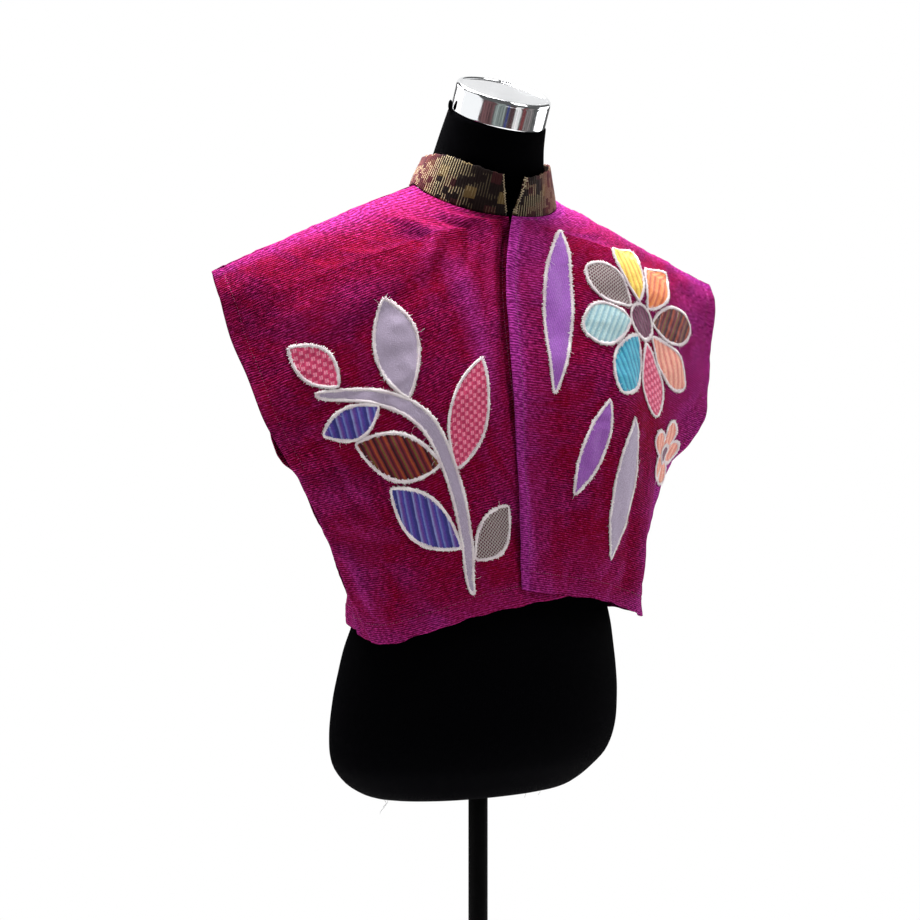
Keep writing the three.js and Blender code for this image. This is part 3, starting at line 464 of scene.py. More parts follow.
def on_cloth(side, u, v, lift):
    """Place on the folded panel, this far above it, with the base surface's normal."""
    here, normal = base_normals(side, u, v)
    height, _ = relief(side, u, v)
    return here + normal * (height + lift)[:, None], normal


# ---------------------------------------------------------------- meshes
def grid_faces(rows, columns, round_rows=False, round_columns=False):
    """Quads of a grid of points kept row by row; a round direction joins its last to its first."""
    i, j = grid(np.arange(rows - (not round_rows)), np.arange(columns - (not round_columns)))
    below, beside = (i + 1) % rows, (j + 1) % columns
    corners = [i * columns + j, i * columns + beside, below * columns + beside, below * columns + j]
    return np.stack(corners, axis=1)


def rim(rows, columns):
    """Indices of a grid's outline, in order."""
    index = np.arange(rows * columns).reshape(rows, columns)
    return np.concatenate([index[0], index[1:, -1], index[-1, -2::-1], index[-2:0:-1, 0]])


def shell(outer, normals, thickness):
    """Closed wall: the outer grid, the same grid moved in by the thickness, and quads round
    the rim. Gives points and faces that look outwards."""
    rows, columns = outer.shape[:2]
    inner = outer - normals * np.asarray(thickness)[..., None]
    count = rows * columns
    faces, loop = grid_faces(rows, columns), rim(rows, columns)
    after = np.roll(loop, -1)
    walls = np.stack([loop, after, after + count, loop + count], axis=1)
    flat, way = outer.reshape(-1, 3), normals.reshape(-1, 3)
    edge_a, edge_b = flat[faces[:, 2]] - flat[faces[:, 0]], flat[faces[:, 3]] - flat[faces[:, 1]]
    if (np.cross(edge_a, edge_b) * way[faces[:, 0]]).sum() < 0:
        faces = faces[:, ::-1]
    else:
        walls = walls[:, ::-1]
    points = np.concatenate([flat, inner.reshape(-1, 3)])
    return points, np.concatenate([faces, faces[:, ::-1] + count, walls])


def tubes(paths, up, width, height, sides, closed=False):
    """Round threads: paths is (threads, points, 3), up the direction of each point's height,
    width and height the half sizes of the oval section. Open ends narrow to a point."""
    threads, length = paths.shape[:2]
    if closed:
        tangent = np.roll(paths, -1, axis=1) - np.roll(paths, 1, axis=1)
    else:
        tangent = np.gradient(paths, axis=1)
    tangent = unit(tangent)
    beside = unit(np.cross(up, tangent))
    rise = np.cross(tangent, beside)
    angle = circle(sides)
    taper = np.ones(length)
    if not closed:
        taper[[0, -1]] = 0.02
    width, height = (np.broadcast_to(size, (threads, length)) * taper for size in (width, height))
    ring = (beside[:, :, None] * (width[..., None] * np.cos(angle))[..., None]
            + rise[:, :, None] * (height[..., None] * np.sin(angle))[..., None])
    points = (paths[:, :, None] + ring).reshape(-1, 3)
    faces = grid_faces(length, sides, closed, True)
    if not closed:  # fans of triangles close the small end rings
        k = np.arange(1, sides - 1)
        first = np.stack([0 * k, k + 1, k, k], axis=1)
        last = (length - 1) * sides + np.stack([0 * k, k, k + 1, k + 1], axis=1)
        faces = np.concatenate([faces, first, last])
    start = np.arange(threads) * length * sides
    return points, (faces[None] + start[:, None, None]).reshape(-1, 4)


def laid_threads(side, u, v, lift, *section, closed=False):
    """Tubes along flat places on a panel, each array (threads, points)."""
    u, v, lift = np.broadcast_arrays(u, v, lift)
    points, up = on_cloth(side, u.ravel(), v.ravel(), lift.ravel())
    return tubes(points.reshape(*u.shape, 3), up.reshape(*u.shape, 3), *section, closed=closed)


def joined(parts):
    """Several (points, faces) in one."""
    start = np.cumsum([0] + [len(points) for points, _ in parts])
    return (np.concatenate([points for points, _ in parts]),
            np.concatenate([faces + first for (_, faces), first in zip(parts, start)]))


def make(name, points, faces, uv=None, values=None, merge=False):
    """Mesh object from points in millimetres and quads; a quad whose last corner repeats is
    a triangle. values are per point, uv per point or, on a closed tube, per face corner."""
    mesh = bpy.data.meshes.new(name)
    kept = np.ones(faces.shape, bool)
    kept[:, 3] = faces[:, 2] != faces[:, 3]
    sizes, kept = kept.sum(axis=1), kept.ravel()
    loops = faces.ravel()[kept]
    mesh.vertices.add(len(points))
    mesh.vertices.foreach_set("co", (points * MM).astype(np.float32).ravel())
    mesh.loops.add(len(loops))
    mesh.loops.foreach_set("vertex_index", loops.astype(np.int32))
    mesh.polygons.add(len(faces))
    mesh.polygons.foreach_set("loop_start", (np.cumsum(sizes) - sizes).astype(np.int32))
    mesh.update(calc_edges=True)
    mesh.validate()
    if uv is not None:
        layer = mesh.uv_layers.new(name="cloth")
        corners = uv[loops] if len(uv) == len(points) else uv[kept]
        layer.data.foreach_set("uv", corners.astype(np.float32).ravel())
    for key, value in (values or {}).items():
        mesh.attributes.new(key, "FLOAT", "POINT").data.foreach_set("value", value.astype(np.float32))
    if merge:
        work = bmesh.new()
        work.from_mesh(mesh)
        bmesh.ops.remove_doubles(work, verts=work.verts, dist=2e-6)
        bmesh.ops.delete(work, geom=[edge for edge in work.edges if not edge.link_faces], context="EDGES")
        bmesh.ops.recalc_face_normals(work, faces=work.faces)
        work.to_mesh(mesh)
        work.free()
    mesh.polygons.foreach_set("use_smooth", np.ones(len(mesh.polygons), bool))
    mesh.update()
    piece = bpy.data.objects.new(name, mesh)
    bpy.context.scene.collection.objects.link(piece)
    return piece


def fit(piece, material, slot, *nodes):
    """Gives a piece its finish, its body and the CAD nodes that it stands for."""
    piece.data.materials.clear()
    piece.data.materials.append(material)
    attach(piece, "root")
    if nodes:
        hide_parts(*nodes)


def lathe(profile, sides):
    """Closed turned piece: a profile of (radius, height) whose inner corners are rounded by a
    short smooth curve, carried round the axis. The ends stand on the axis."""
    corner = np.array(profile, float)
    path = [corner[:1]]
    f = np.linspace(0, 1, 4)[:, None]
    for before, here, after in zip(corner[:-2], corner[1:-1], corner[2:]):
        reach = min(1.2, 0.4 * np.linalg.norm(here - before), 0.4 * np.linalg.norm(after - here))
        start, end = here + unit(before - here) * reach, here + unit(after - here) * reach
        path.append(start * (1 - f) ** 2 + 2 * here * f * (1 - f) + end * f ** 2)
    path = np.concatenate(path + [corner[-1:]])
    angle = circle(sides)
    points = stack(path[:, :1] * np.cos(angle), path[:, :1] * np.sin(angle), path[:, 1:])
    return points.reshape(-1, 3), grid_faces(len(path), sides, False, True)


# ---------------------------------------------------------------- materials
def linear(colour):
    """sRGB hex such as "8A1250", or a property's sRGB triple, as linear RGBA."""
    if isinstance(colour, str):
        colour = [int(colour[i:i + 2], 16) / 255 for i in (0, 2, 4)]
    c = np.array(colour[:3], float)
    return (*np.where(c <= 0.04045, c / 12.92, ((c + 0.055) / 1.055) ** 2.4), 1.0)


def node(tree, kind, inputs=(), stops=(), **settings):
    """Adds a shader node and returns its outputs. The inputs are its sockets in order, or by
    name or number, each a value or another node's output. Stops are the places and colours
    of a ramp, and the settings the node's own properties."""
    made = tree.nodes.new("ShaderNode" + kind)
    for key, value in settings.items():
        setattr(made, key, value)
    for key, value in inputs.items() if isinstance(inputs, dict) else enumerate(inputs):
        if isinstance(value, bpy.types.NodeSocket):
            tree.links.new(value, made.inputs[key])
        else:
            made.inputs[key].default_value = value
    for i, (place, colour) in enumerate(stops):
        elements = made.color_ramp.elements
        element = elements[i] if i < len(elements) else elements.new(1.0)
        element.position, element.color = place, linear(colour)
    return made.outputs


def finish(name, build, *inputs):
    """The material of this name. The first time it is asked for, build adds its nodes and
    gives the sockets of its Principled shader."""
    material = bpy.data.materials.get(name)
    if not material:
        material = bpy.data.materials.new(name)
        material.use_nodes = True
        material.node_tree.nodes.clear()
        add = partial(node, material.node_tree)
        add("OutputMaterial", [add("BsdfPrincipled", build(add, *inputs))[0]])
    return material


def flat_place(add, scale=(1, 1), turn=0.0):
    """The cloth's own UV map in millimetres, scaled and turned."""
    uv = add("UVMap", uv_map="cloth")[0]
    return add("Mapping", {"Vector": uv, "Scale": (*scale, 1), "Rotation": (0, 0, turn)})[0]


def yarns(add, across, along, turn=0.0, **detail):
    """Uneven yarns of a cloth: soft spots on its UV map, this many to a millimetre each way."""
    place = flat_place(add, (across, along), turn)
    return add("TexNoise", {"Vector": place, "Scale": 1, **detail})[0]


def ridges(add, distance, pitch):
    """sin(2 pi distance / pitch), the ridges of a weave or a knit."""
    turns = add("Math", [distance, 2 * np.pi / pitch], operation="MULTIPLY")[0]
    return add("Math", [turns], operation="SINE")[0]


def shot_cotton(add, colours, sizes):
    """Handwoven shot cotton: blue-violet warp, crimson weft beaten into ribs. The ribs show
    as fine lines broken by short red and blue flecks, with painted shade in the grooves and painted highlight
    on the rib tops, and folds that turn away show the warp's violet as a painted sheen and highlight."""
    # slubs 5 mm long, warp ends 0.9 mm apart, patches of 60 to 80 mm, ribs that wander over 50 mm
    fleck = yarns(add, 0.2, 0.72, Detail=3, Roughness=0.62)
    hue = yarns(add, 0.12, 0.5, 0.03, Roughness=0.6)
    thread = yarns(add, 1.1, 0.45)
    broad = yarns(add, 0.013, 0.017)
    v = add("SeparateXYZ", [flat_place(add)])[1]
    v = add("Math", [yarns(add, 0.02, 0.02), 4, v], operation="MULTIPLY_ADD")[0]
    rib = ridges(add, v, sizes.rib_pitch / MM)

    # the rib term paints each groove darker as shade and each rib top lighter as highlight; the flecks and
    # threads are the yarn's own tones
    tone, high = -0.84, fleck
    for part, strength in (fleck, 2.2), (rib, 0.2), (thread, 0.3):
        tone = add("Math", [part, strength, tone], operation="MULTIPLY_ADD")[0]
    for part, strength in (thread, 0.5), (rib, 0.26):
        high = add("Math", [part, strength, high], operation="MULTIPLY_ADD")[0]
    weft = add("ValToRGB", [tone], stops=(
        (0.1, colours.groove), (0.36, colours.ground), (0.58, colours.weft), (0.9, colours.crest)))[0]
    redder = add("MapRange", [hue, 0.5, 0.34, 0, 0.4])[0]
    redder_patches = add("MapRange", [broad, 0.58, 0.4, 0, 0.36])[0]
    crimson = add("Math", [redder, redder_patches], operation="ADD")[0]
    # painted glints: weft floats on top of the ribs lightened to the crest colour as if they catch the light
    floats = add("MapRange", [thread, 0.52, 0.64])[0]
    rib_tops = add("MapRange", [rib, 0.1, 0.8, 0, 0.6])[0]
    painted_glints = add("Math", [floats, rib_tops], operation="MULTIPLY")[0]
    for share, over in (crimson, colours.red_fleck), (painted_glints, colours.crest):
        weft = add("Mix", {0: share, 6: weft, 7: linear(over)}, data_type="RGBA")[2]

    # how much of the warp shows: the panels' painted sheen and highlight by the fold, broken by slubs, and a
    # little in patches
    turned = add("Attribute", attribute_name="violet")[2]
    broken = add("MapRange", [fleck, 0.3, 0.62, 0.6, 1.05])[0]
    turned = add("Math", [turned, broken], operation="MULTIPLY")[0]
    for patchy, *span in (hue, 0.54, 0.7, 0, 0.12), (broad, 0.52, 0.68, 0, 0.08):
        bluer = add("MapRange", [patchy, *span])[0]
        turned = add("Math", [turned, bluer], operation="ADD")[0]
    share = add("Clamp", {0: turned, 2: 0.8})[0]
    # the warp is painted darker in the grooves as shade and lighter on the rib tops as highlight, through the
    # same tone
    lit = add("Math", [tone, -0.1], operation="ADD")[0]
    lit = add("MapRange", [lit, 0.2, 0.6])[0]
    warp = add("Mix", {0: lit, 6: linear(colours.warp_dark), 7: linear(colours.warp_light)},
               data_type="RGBA")[2]
    return {"Base Color": add("Mix", {0: share, 6: weft, 7: warp}, data_type="RGBA")[2],
            "Roughness": 0.8, "Specular IOR Level": 0.01, "Sheen Weight": 0.06, "Sheen Roughness": 0.3,
            "Sheen Tint": linear(colours.bloom),
            "Normal": add("Bump", {"Height": high, "Distance": 0.00044})[0]}


# Fabrics of the applique: stripes as (share of the repeat, colour), repeat in mm,
# turn of the stripes in degrees, second repeat across them in mm, sheen
FABRICS = {
    "lavender": (((0, "9E8FA9"), (0.5, "B7AAC0")), 1.7, 52, 0, 0.2),
    "pink_check": (((0, "D8456F"), (0.1, "F3A9BE"), (0.16, "E25A82"), (0.3, "F0A0B8"), (0.36, "DE4E78"),
                    (0.55, "B82F5B"), (0.9, "D8456F")), 11, 8, 7.5, 0.2),
    "red_stripe": (((0, "6A1226"), (0.16, "A34B22"), (0.26, "7A1A2B"), (0.42, "3A0B1A"), (0.52, "8C2A3A"),
                    (0.66, "665B22"), (0.76, "741529"), (0.9, "2C0814")), 15, -14, 0, 0.2),
    "indigo_stripe": (((0, "3A3A92"), (0.2, "5A3D97"), (0.34, "7483C6"), (0.4, "3B3F9C"), (0.62, "6A3F95"),
                       (0.78, "8C98D0"), (0.84, "35347F")), 17, 6, 0, 0.25),
    "black_stripe": (((0, "1C1418"), (0.3, "C9BDBA"), (0.42, "1E1519"), (0.62, "6B2036"), (0.8, "1C1418"),
                      (0.9, "D6CBC8")), 4.6, 12, 3.8, 0.15),
    "violet": (((0, "8440A2"), (0.5, "9A56B6")), 2.3, 20, 0, 0.45),
    "turquoise": (((0, "2B93B6"), (0.5, "52BBD0"), (0.8, "1F7FA6")), 7, 30, 0, 0.2),
    "aqua": (((0, "9AC3CA"), (0.5, "C3DEDD"), (0.8, "8DB6C4")), 6, -24, 0, 0.2),
    "peach": (((0, "E08F7C"), (0.45, "F0B49C"), (0.8, "D97A70")), 9, 18, 0, 0.2),
    "yellow": (((0, "E2B92F"), (0.5, "F3D85C"), (0.84, "D99A2B")), 8, 24, 0, 0.2),
    "orange": (((0, "DD6E2C"), (0.5, "F09350"), (0.8, "C9542A")), 8, -20, 0, 0.2),
    "plum": (((0, "4E0A35"), (0.5, "7A1B56"), (0.8, "3C0728")), 5, 40, 0, 0.3),
}


def applique_cotton(add, fabric):
    """Plain woven scrap, striped or checked in the yarn: soft-edged stripes, single threads
    just showing, small worn light spots and a weave bump."""
    # threads 0.6 mm apart with slubs 2 mm long, and stripes that wander over 8 mm
    stripes, repeat, turn, second, sheen = FABRICS[fabric]
    turn = np.radians(turn)
    x, y, _ = add("SeparateXYZ", [flat_place(add, turn=turn)])[:3]
    share = add("Math", [x, repeat], operation="DIVIDE")[0]
    share = add("Math", [yarns(add, 0.12, 0.12), 0.08, share], operation="MULTIPLY_ADD")[0]
    share = add("Math", [share], operation="FRACT")[0]
    base = add("ValToRGB", [share], stops=stripes)[0]
    if second:  # blocks across the stripes turn their tones over
        block = add("MapRange", [ridges(add, y, second), -0.25, 0.25])[0]
        other = add("Math", [share, 0.5], operation="ADD")[0]
        other = add("Math", [other], operation="FRACT")[0]
        other = add("ValToRGB", [other], stops=stripes)[0]
        base = add("Mix", {0: block, 6: base, 7: other}, data_type="RGBA")[2]
    warp, weft = yarns(add, 1.6, 0.5, turn), yarns(add, 0.5, 1.7, turn)
    worn = add("Math", [warp, weft], operation="MULTIPLY")[0]
    worn = add("MapRange", [worn, 0.08, 0.42, 0.62, 1.3])[0]
    worn = add("CombineColor", [worn] * 3)[0]
    high = add("Math", [warp, weft], operation="ADD")[0]
    return {"Base Color": add("Mix", {0: 1, 6: base, 7: worn}, data_type="RGBA", blend_type="MULTIPLY")[2],
            "Roughness": 0.86, "Specular IOR Level": 0.15, "Sheen Weight": sheen, "Sheen Roughness": 0.5,
            "Normal": add("Bump", {"Height": high, "Distance": 0.0005})[0]}


def cells(add, x, y, wide, tall):
    """A random value for each cell of a grid of blocks this many millimetres wide and tall,
    each column of blocks set off from the next."""
    column = add("Math", [x, wide], operation="DIVIDE")[0]
    column = add("Math", [column], operation="FLOOR")[0]
    row = add("Math", [y, tall], operation="DIVIDE")[0]
    row = add("Math", [column, 0.37, row], operation="MULTIPLY_ADD")[0]
    row = add("Math", [row], operation="FLOOR")[0]
    place = add("CombineXYZ", [column, row])[0]
    return add("TexWhiteNoise", {"Vector": place}, noise_dimensions="2D")[0]


def collar_cloth(add, colours):
    """Checked band cloth: blocks of brown-black, olive and red-brown crossed by fine gold
    warp lines in broken dashes. The lines stand 2.9 mm apart and waver with the yarn."""
    # yarns 0.8 mm apart, small blocks two lines wide and large ones four
    x, y, _ = add("SeparateXYZ", [flat_place(add)])[:3]
    x = add("Math", [yarns(add, 0.16, 0.09), 1.4, x], operation="MULTIPLY_ADD")[0]
    y = add("Math", [yarns(add, 0.06, 0.06), 3, y], operation="MULTIPLY_ADD")[0]
    line = ridges(add, x, 2.9)
    small, large = cells(add, x, y, 5.8, 6), cells(add, x, y, 11.6, 10)
    dash = add("MapRange", [small, 0.36, 0.4])[0]
    dashed_blocks = add("MapRange", [large, 0.24, 0.28, 0.1, 1])[0]
    dash = add("Math", [dash, dashed_blocks], operation="MULTIPLY")[0]
    plain = add("Attribute", attribute_name="plain")[2]
    plain = add("MapRange", [plain, 0, 1, 0.9, 0.12])[0]
    gold = add("MapRange", [line, 0.35, 0.8])[0]
    for share in dash, plain:
        gold = add("Math", [gold, share], operation="MULTIPLY")[0]
    ground = add("ValToRGB", [large], stops=(
        (0, colours.band_dark), (0.4, colours.band_brown), (0.56, colours.band_dark),
        (0.84, colours.band_olive), (0.93, colours.band_dark)))[0]
    ground.node.color_ramp.interpolation = "CONSTANT"
    red = add("Attribute", attribute_name="red")[2]
    red_blocks = add("MapRange", [small, 0.2, 0.5, 0.6, 0.95])[0]
    red = add("Math", [red, red_blocks], operation="MULTIPLY")[0]
    base = add("Mix", {0: red, 6: ground, 7: linear(colours.band_red)}, data_type="RGBA")[2]
    thread = yarns(add, 1.2, 1.2)
    bright = add("MapRange", [thread, 0.35, 0.65])[0]
    yellow = add("Mix", {0: bright, 6: linear(colours.band_gold), 7: linear(colours.band_light)},
                 data_type="RGBA")[2]
    high = add("Math", [line, 0.4, thread], operation="MULTIPLY_ADD")[0]
    return {"Base Color": add("Mix", {0: gold, 6: base, 7: yellow}, data_type="RGBA")[2],
            "Roughness": 0.8, "Specular IOR Level": 0.08, "Sheen Weight": 0.08,
            "Normal": add("Bump", {"Height": high, "Distance": 0.0004})[0]}


def spun_thread(add, light, dark):
    """Soft spun thread: its colour with faint darker plies, matt and a little furry."""
    # plies 1.1 mm apart, and lighter and darker stretches of 17 mm
    place = add("TexCoord")[3]
    ply = add("TexNoise", {"Vector": place, "Scale": 900})[0]
    patchy = add("TexNoise", {"Vector": place, "Scale": 60})[0]
    tone = add("Math", [ply, 0.6], operation="MULTIPLY")[0]
    tone = add("Math", [patchy, 0.6, tone], operation="MULTIPLY_ADD")[0]
    return {"Base Color": add("ValToRGB", [tone], stops=((0.35, dark), (0.75, light)))[0],
            "Roughness": 0.9, "Specular IOR Level": 0.1, "Sheen Weight": 0.35, "Sheen Roughness": 0.6,
            "Normal": add("Bump", {"Height": ply, "Distance": 0.0003})[0]}


def jersey(add, colours):
    """Black stretch jersey pulled over the form: fine wales that run up it, dead matt."""
    # wales 1.9 mm and courses 1.5 mm apart, twice the real ones, which are too fine to show
    x, y, _ = add("SeparateXYZ", [flat_place(add)])[:3]
    wale, course = ridges(add, x, 1.9), ridges(add, y, 1.5)
    lint = yarns(add, 0.9, 0.9, Detail=3, Roughness=0.7)
    tone = add("Math", [wale, 0.1, lint], operation="MULTIPLY_ADD")[0]
    high = add("Math", [wale, course], operation="MULTIPLY")[0]
    stops = (0.3, colours.jersey_dark), (0.8, colours.jersey)
    return {"Base Color": add("ValToRGB", [tone], stops=stops)[0],
            "Roughness": 0.95, "Specular IOR Level": 0.01,
            "Normal": add("Bump", {"Height": high, "Distance": 0.0002})[0]}


def chrome(add, colours):
    """Chromium plate: a mirror with the faintest ripple of its pressed steel and thin rings
    left by the buffing wheel."""
    # the ripple is 45 mm long and the rings are 4 mm apart
    place = add("TexCoord")[3]
    pressed = add("TexNoise", {"Vector": place, "Scale": 22, "Detail": 1})[0]
    rings = add("Mapping", {"Vector": place, "Scale": (14, 14, 260)})[0]
    rings = add("TexNoise", {"Vector": rings, "Scale": 1, "Detail": 3})[0]
    return {"Base Color": linear(colours.chrome), "Metallic": 1,
            "Roughness": add("MapRange", [rings, 0.3, 0.8, 0.05, 0.16])[0],
            "Normal": add("Bump", {"Height": pressed, "Distance": 0.00025})[0]}


def satin_black(add, colours):
    """Black powder-coated steel: satin, with the fine orange-peel of baked powder and a
    trace of dust in it."""
    # orange-peel 1.4 mm and patches of dust 30 mm across
    place = add("TexCoord")[3]
    peel = add("TexNoise", {"Vector": place, "Scale": 700})[0]
    dust = add("TexNoise", {"Vector": place, "Scale": 35, "Detail": 4, "Roughness": 0.6})[0]
    stops = (0.35, colours.coat), (0.9, colours.coat_dust)
    return {"Base Color": add("ValToRGB", [dust], stops=stops)[0],
            "Roughness": add("MapRange", [dust, 0.3, 0.8, 0.45, 0.6])[0], "Specular IOR Level": 0.03,
            "Normal": add("Bump", {"Height": peel, "Distance": 0.00012})[0]}


def studio_paint(add):
    """Matt pale studio floor with the faintest unevenness of roller paint."""
    patchy = add("TexNoise", {"Vector": add("TexCoord")[3], "Scale": 3, "Detail": 3})[0]
    return {"Base Color": add("ValToRGB", [patchy], stops=((0.3, "F3F2F1"), (0.7, "F7F6F5")))[0],
            "Roughness": 0.9, "Specular IOR Level": 0.1}


def studio_card(add, low, high, glow=0.0):
    """Matt studio card, for the reflections only: a plain colour with its fibres just told,
    glowing where it stands for a lit wall."""
    place = add("Mapping", {"Vector": add("TexCoord")[3], "Scale": (22, 22, 2)})[0]
    fibre = add("TexNoise", {"Vector": place, "Scale": 1, "Detail": 3})[0]
    return {"Base Color": add("ValToRGB", [fibre], stops=((0.38, low), (0.62, high)))[0],
            "Roughness": 0.9, "Emission Color": (1, 1, 1, 1), "Emission Strength": glow}


# ---------------------------------------------------------------- applique shapes
def leaf_shape(u, v, turn, length, width, bend=0.0, fat=0.8, peak=1.0):
    """Leaf or petal: a spine that drifts sideways with f^2 and a half width of
    sin(pi f^peak)^fat. Gives place(f, w) with w from -1 to 1, and its length."""
    heading = np.radians(turn)

    def place(f, w):
        half = width / 2 * np.maximum(np.sin(np.pi * f ** peak), 0) ** fat
        out, drift = length * f, bend * f * f / 2 + w * half
        return (u + out * np.cos(heading) - drift * np.sin(heading),
                v + out * np.sin(heading) + drift * np.cos(heading))
    return place, length


def stem_shape():
    """Ribbon along the stem's route, half as wide as sin(pi f)^0.35 lets it be."""
    def place(f, w):
        before, here, after = (np.stack(follow(STEM_ROUTE, f + step, "u", "v")) for step in (-0.01, 0, 0.01))
        du, dv = (after - before) / np.hypot(*(after - before))
        half = w * STEM_WIDTH / 2 * np.maximum(np.sin(np.pi * f), 0) ** 0.35
        return here[0] - dv * half, here[1] + du * half
    return place, STEM_LENGTH


def stem_leaf(at, side, spread, length, width, bend):
    """Leaf whose foot stands just beside the stem."""
    place, _ = stem_shape()
    f = np.array([at - 0.005, at, at + 0.005])
    u, v = place(f, 0 * f)
    turn = np.degrees(np.arctan2(v[2] - v[0], u[2] - u[0]))
    out, distance = np.radians(turn + 90 * side), STEM_WIDTH / 2 + LEAF_CLEAR
    return leaf_shape(u[1] + distance * np.cos(out), v[1] + distance * np.sin(out),
                      turn + spread * side, length, width, bend)


def petal_shape(turn, length, width):
    """Fat-ended leaf that starts a little way out from the flower's middle."""
    heading = np.radians(turn)
    return leaf_shape(FLOWER["u"] + FLOWER["start"] * np.cos(heading),
                      FLOWER["v"] + FLOWER["start"] * np.sin(heading), turn, length, width, 0, 0.6, 1.3)


def round_shape(flower, radius):
    """Disc or blossom: place(a, w) with a once round and w from 0 at the middle to 1 at the
    edge, whose distance is radius(angle)."""
    def place(a, w):
        angle = 2 * np.pi * a
        out = w * radius(angle)
        return flower["u"] + out * np.cos(angle), flower["v"] + out * np.sin(angle)
    return place


def disc_shape(flower):
    """Round middle of a flower."""
    return round_shape(flower, lambda _: flower["centre"])


def blossom_shape():
    """Edge between waist and reach with |cos(angle petals / 2)|^0.7"""
    f = SMALL_FLOWER

    def radius(angle):
        swing = np.abs(np.cos((angle - np.radians(f["turn"])) * f["petals"] / 2)) ** 0.7
        return lerp(f["waist"], f["reach"], swing)
    return round_shape(f, radius)


def applique_list():
    """name, side, fabric, place, length (none for a round piece) and the lift of its cloth"""
    pieces = [("stem_right", RIGHT, "lavender", *stem_shape(), PATCH_GAP)]
    for i, (fabric, *leaf) in enumerate(STEM_LEAVES, 1):
        pieces.append((f"leaf_right_{i}", RIGHT, fabric, *stem_leaf(*leaf), PATCH_GAP))
    for i, (fabric, *leaf) in enumerate(LEFT_LEAVES, 1):
        pieces.append((f"leaf_left_{i}", LEFT, fabric, *leaf_shape(*leaf), PATCH_GAP))
    for i, (fabric, *petal) in enumerate(PETALS, 1):
        pieces.append((f"flower_petal_{i}", LEFT, fabric, *petal_shape(*petal), PATCH_GAP))
    pieces.append(("flower_centre", LEFT, "plum", disc_shape(FLOWER), None, PATCH_GAP))
    pieces.append(("small_flower", LEFT, "peach", blossom_shape(), None, PATCH_GAP))
    pieces.append(("small_flower_centre", LEFT, "plum", disc_shape(SMALL_FLOWER), None,
                   2 * PATCH_GAP + PATCH_CLOTH))
    return pieces


def outline(place, length, step):
    """Closed outline of a piece as u and v at even steps."""
    if length:
        f = (1 - np.cos(np.linspace(0, np.pi, 400))) / 2
        there, back = place(f, 1 + 0 * f), place(f[::-1], -1 + 0 * f)
        u, v = (np.concatenate([a, b[1:]]) for a, b in zip(there, back))
    else:
        a = np.linspace(0, 1, 1601)
        u, v = place(a, 1 + 0 * a)
    run = np.concatenate([[0], np.cumsum(np.hypot(np.diff(u), np.diff(v)))])
    at = np.arange(0, run[-1] - step / 2, run[-1] / round(run[-1] / step))
    return np.interp(at, run, u), np.interp(at, run, v)


# ---------------------------------------------------------------- pieces
def sewn_patch(name, side, place, length, lift):
    """One piece of applique: a closed wall that follows the folded front, pressed down at
    its cut edge, puffed a little inside it, with small wrinkles."""
    if length:
        rows = (1 - np.cos(np.linspace(0, np.pi, int(length / 2) + 8))) / 2
        columns = np.linspace(-1, 1, 21)
    else:
        rows, columns = np.linspace(0, 1, 121), np.linspace(0, 1, 16)
    shape = len(rows), len(columns)
    f, w = grid(rows, columns)
    u, v = place(f, w)
    inside = 1 - w ** 4
    if length:  # both ends run out flat
        inside = inside * smooth(f * (1 - f), 0, 0.02)
    top = lift + PATCH_CLOTH * 0.6 + inside * (0.4 * PATCH_CLOTH + 0.35 + 0.3 * ripple(u, v, 16, 71)
                                               + 0.16 * ripple(u, v, 6, 72))
    points, normals = on_cloth(side, u, v, top)
    wall = (top - lift - 0.12).reshape(shape)
    points, faces = shell(points.reshape(*shape, 3), normals.reshape(*shape, 3), wall)
    if not length:  # the first and last spoke are the same, so there is no wall between them
        spokes = np.arange(len(f)).reshape(shape)[[0, -1]]
        faces = faces[~np.isin(faces % len(f), spokes).all(axis=1)]
    return make(name, points, faces, uv=np.tile(stack(u, v), (2, 1)), merge=True)


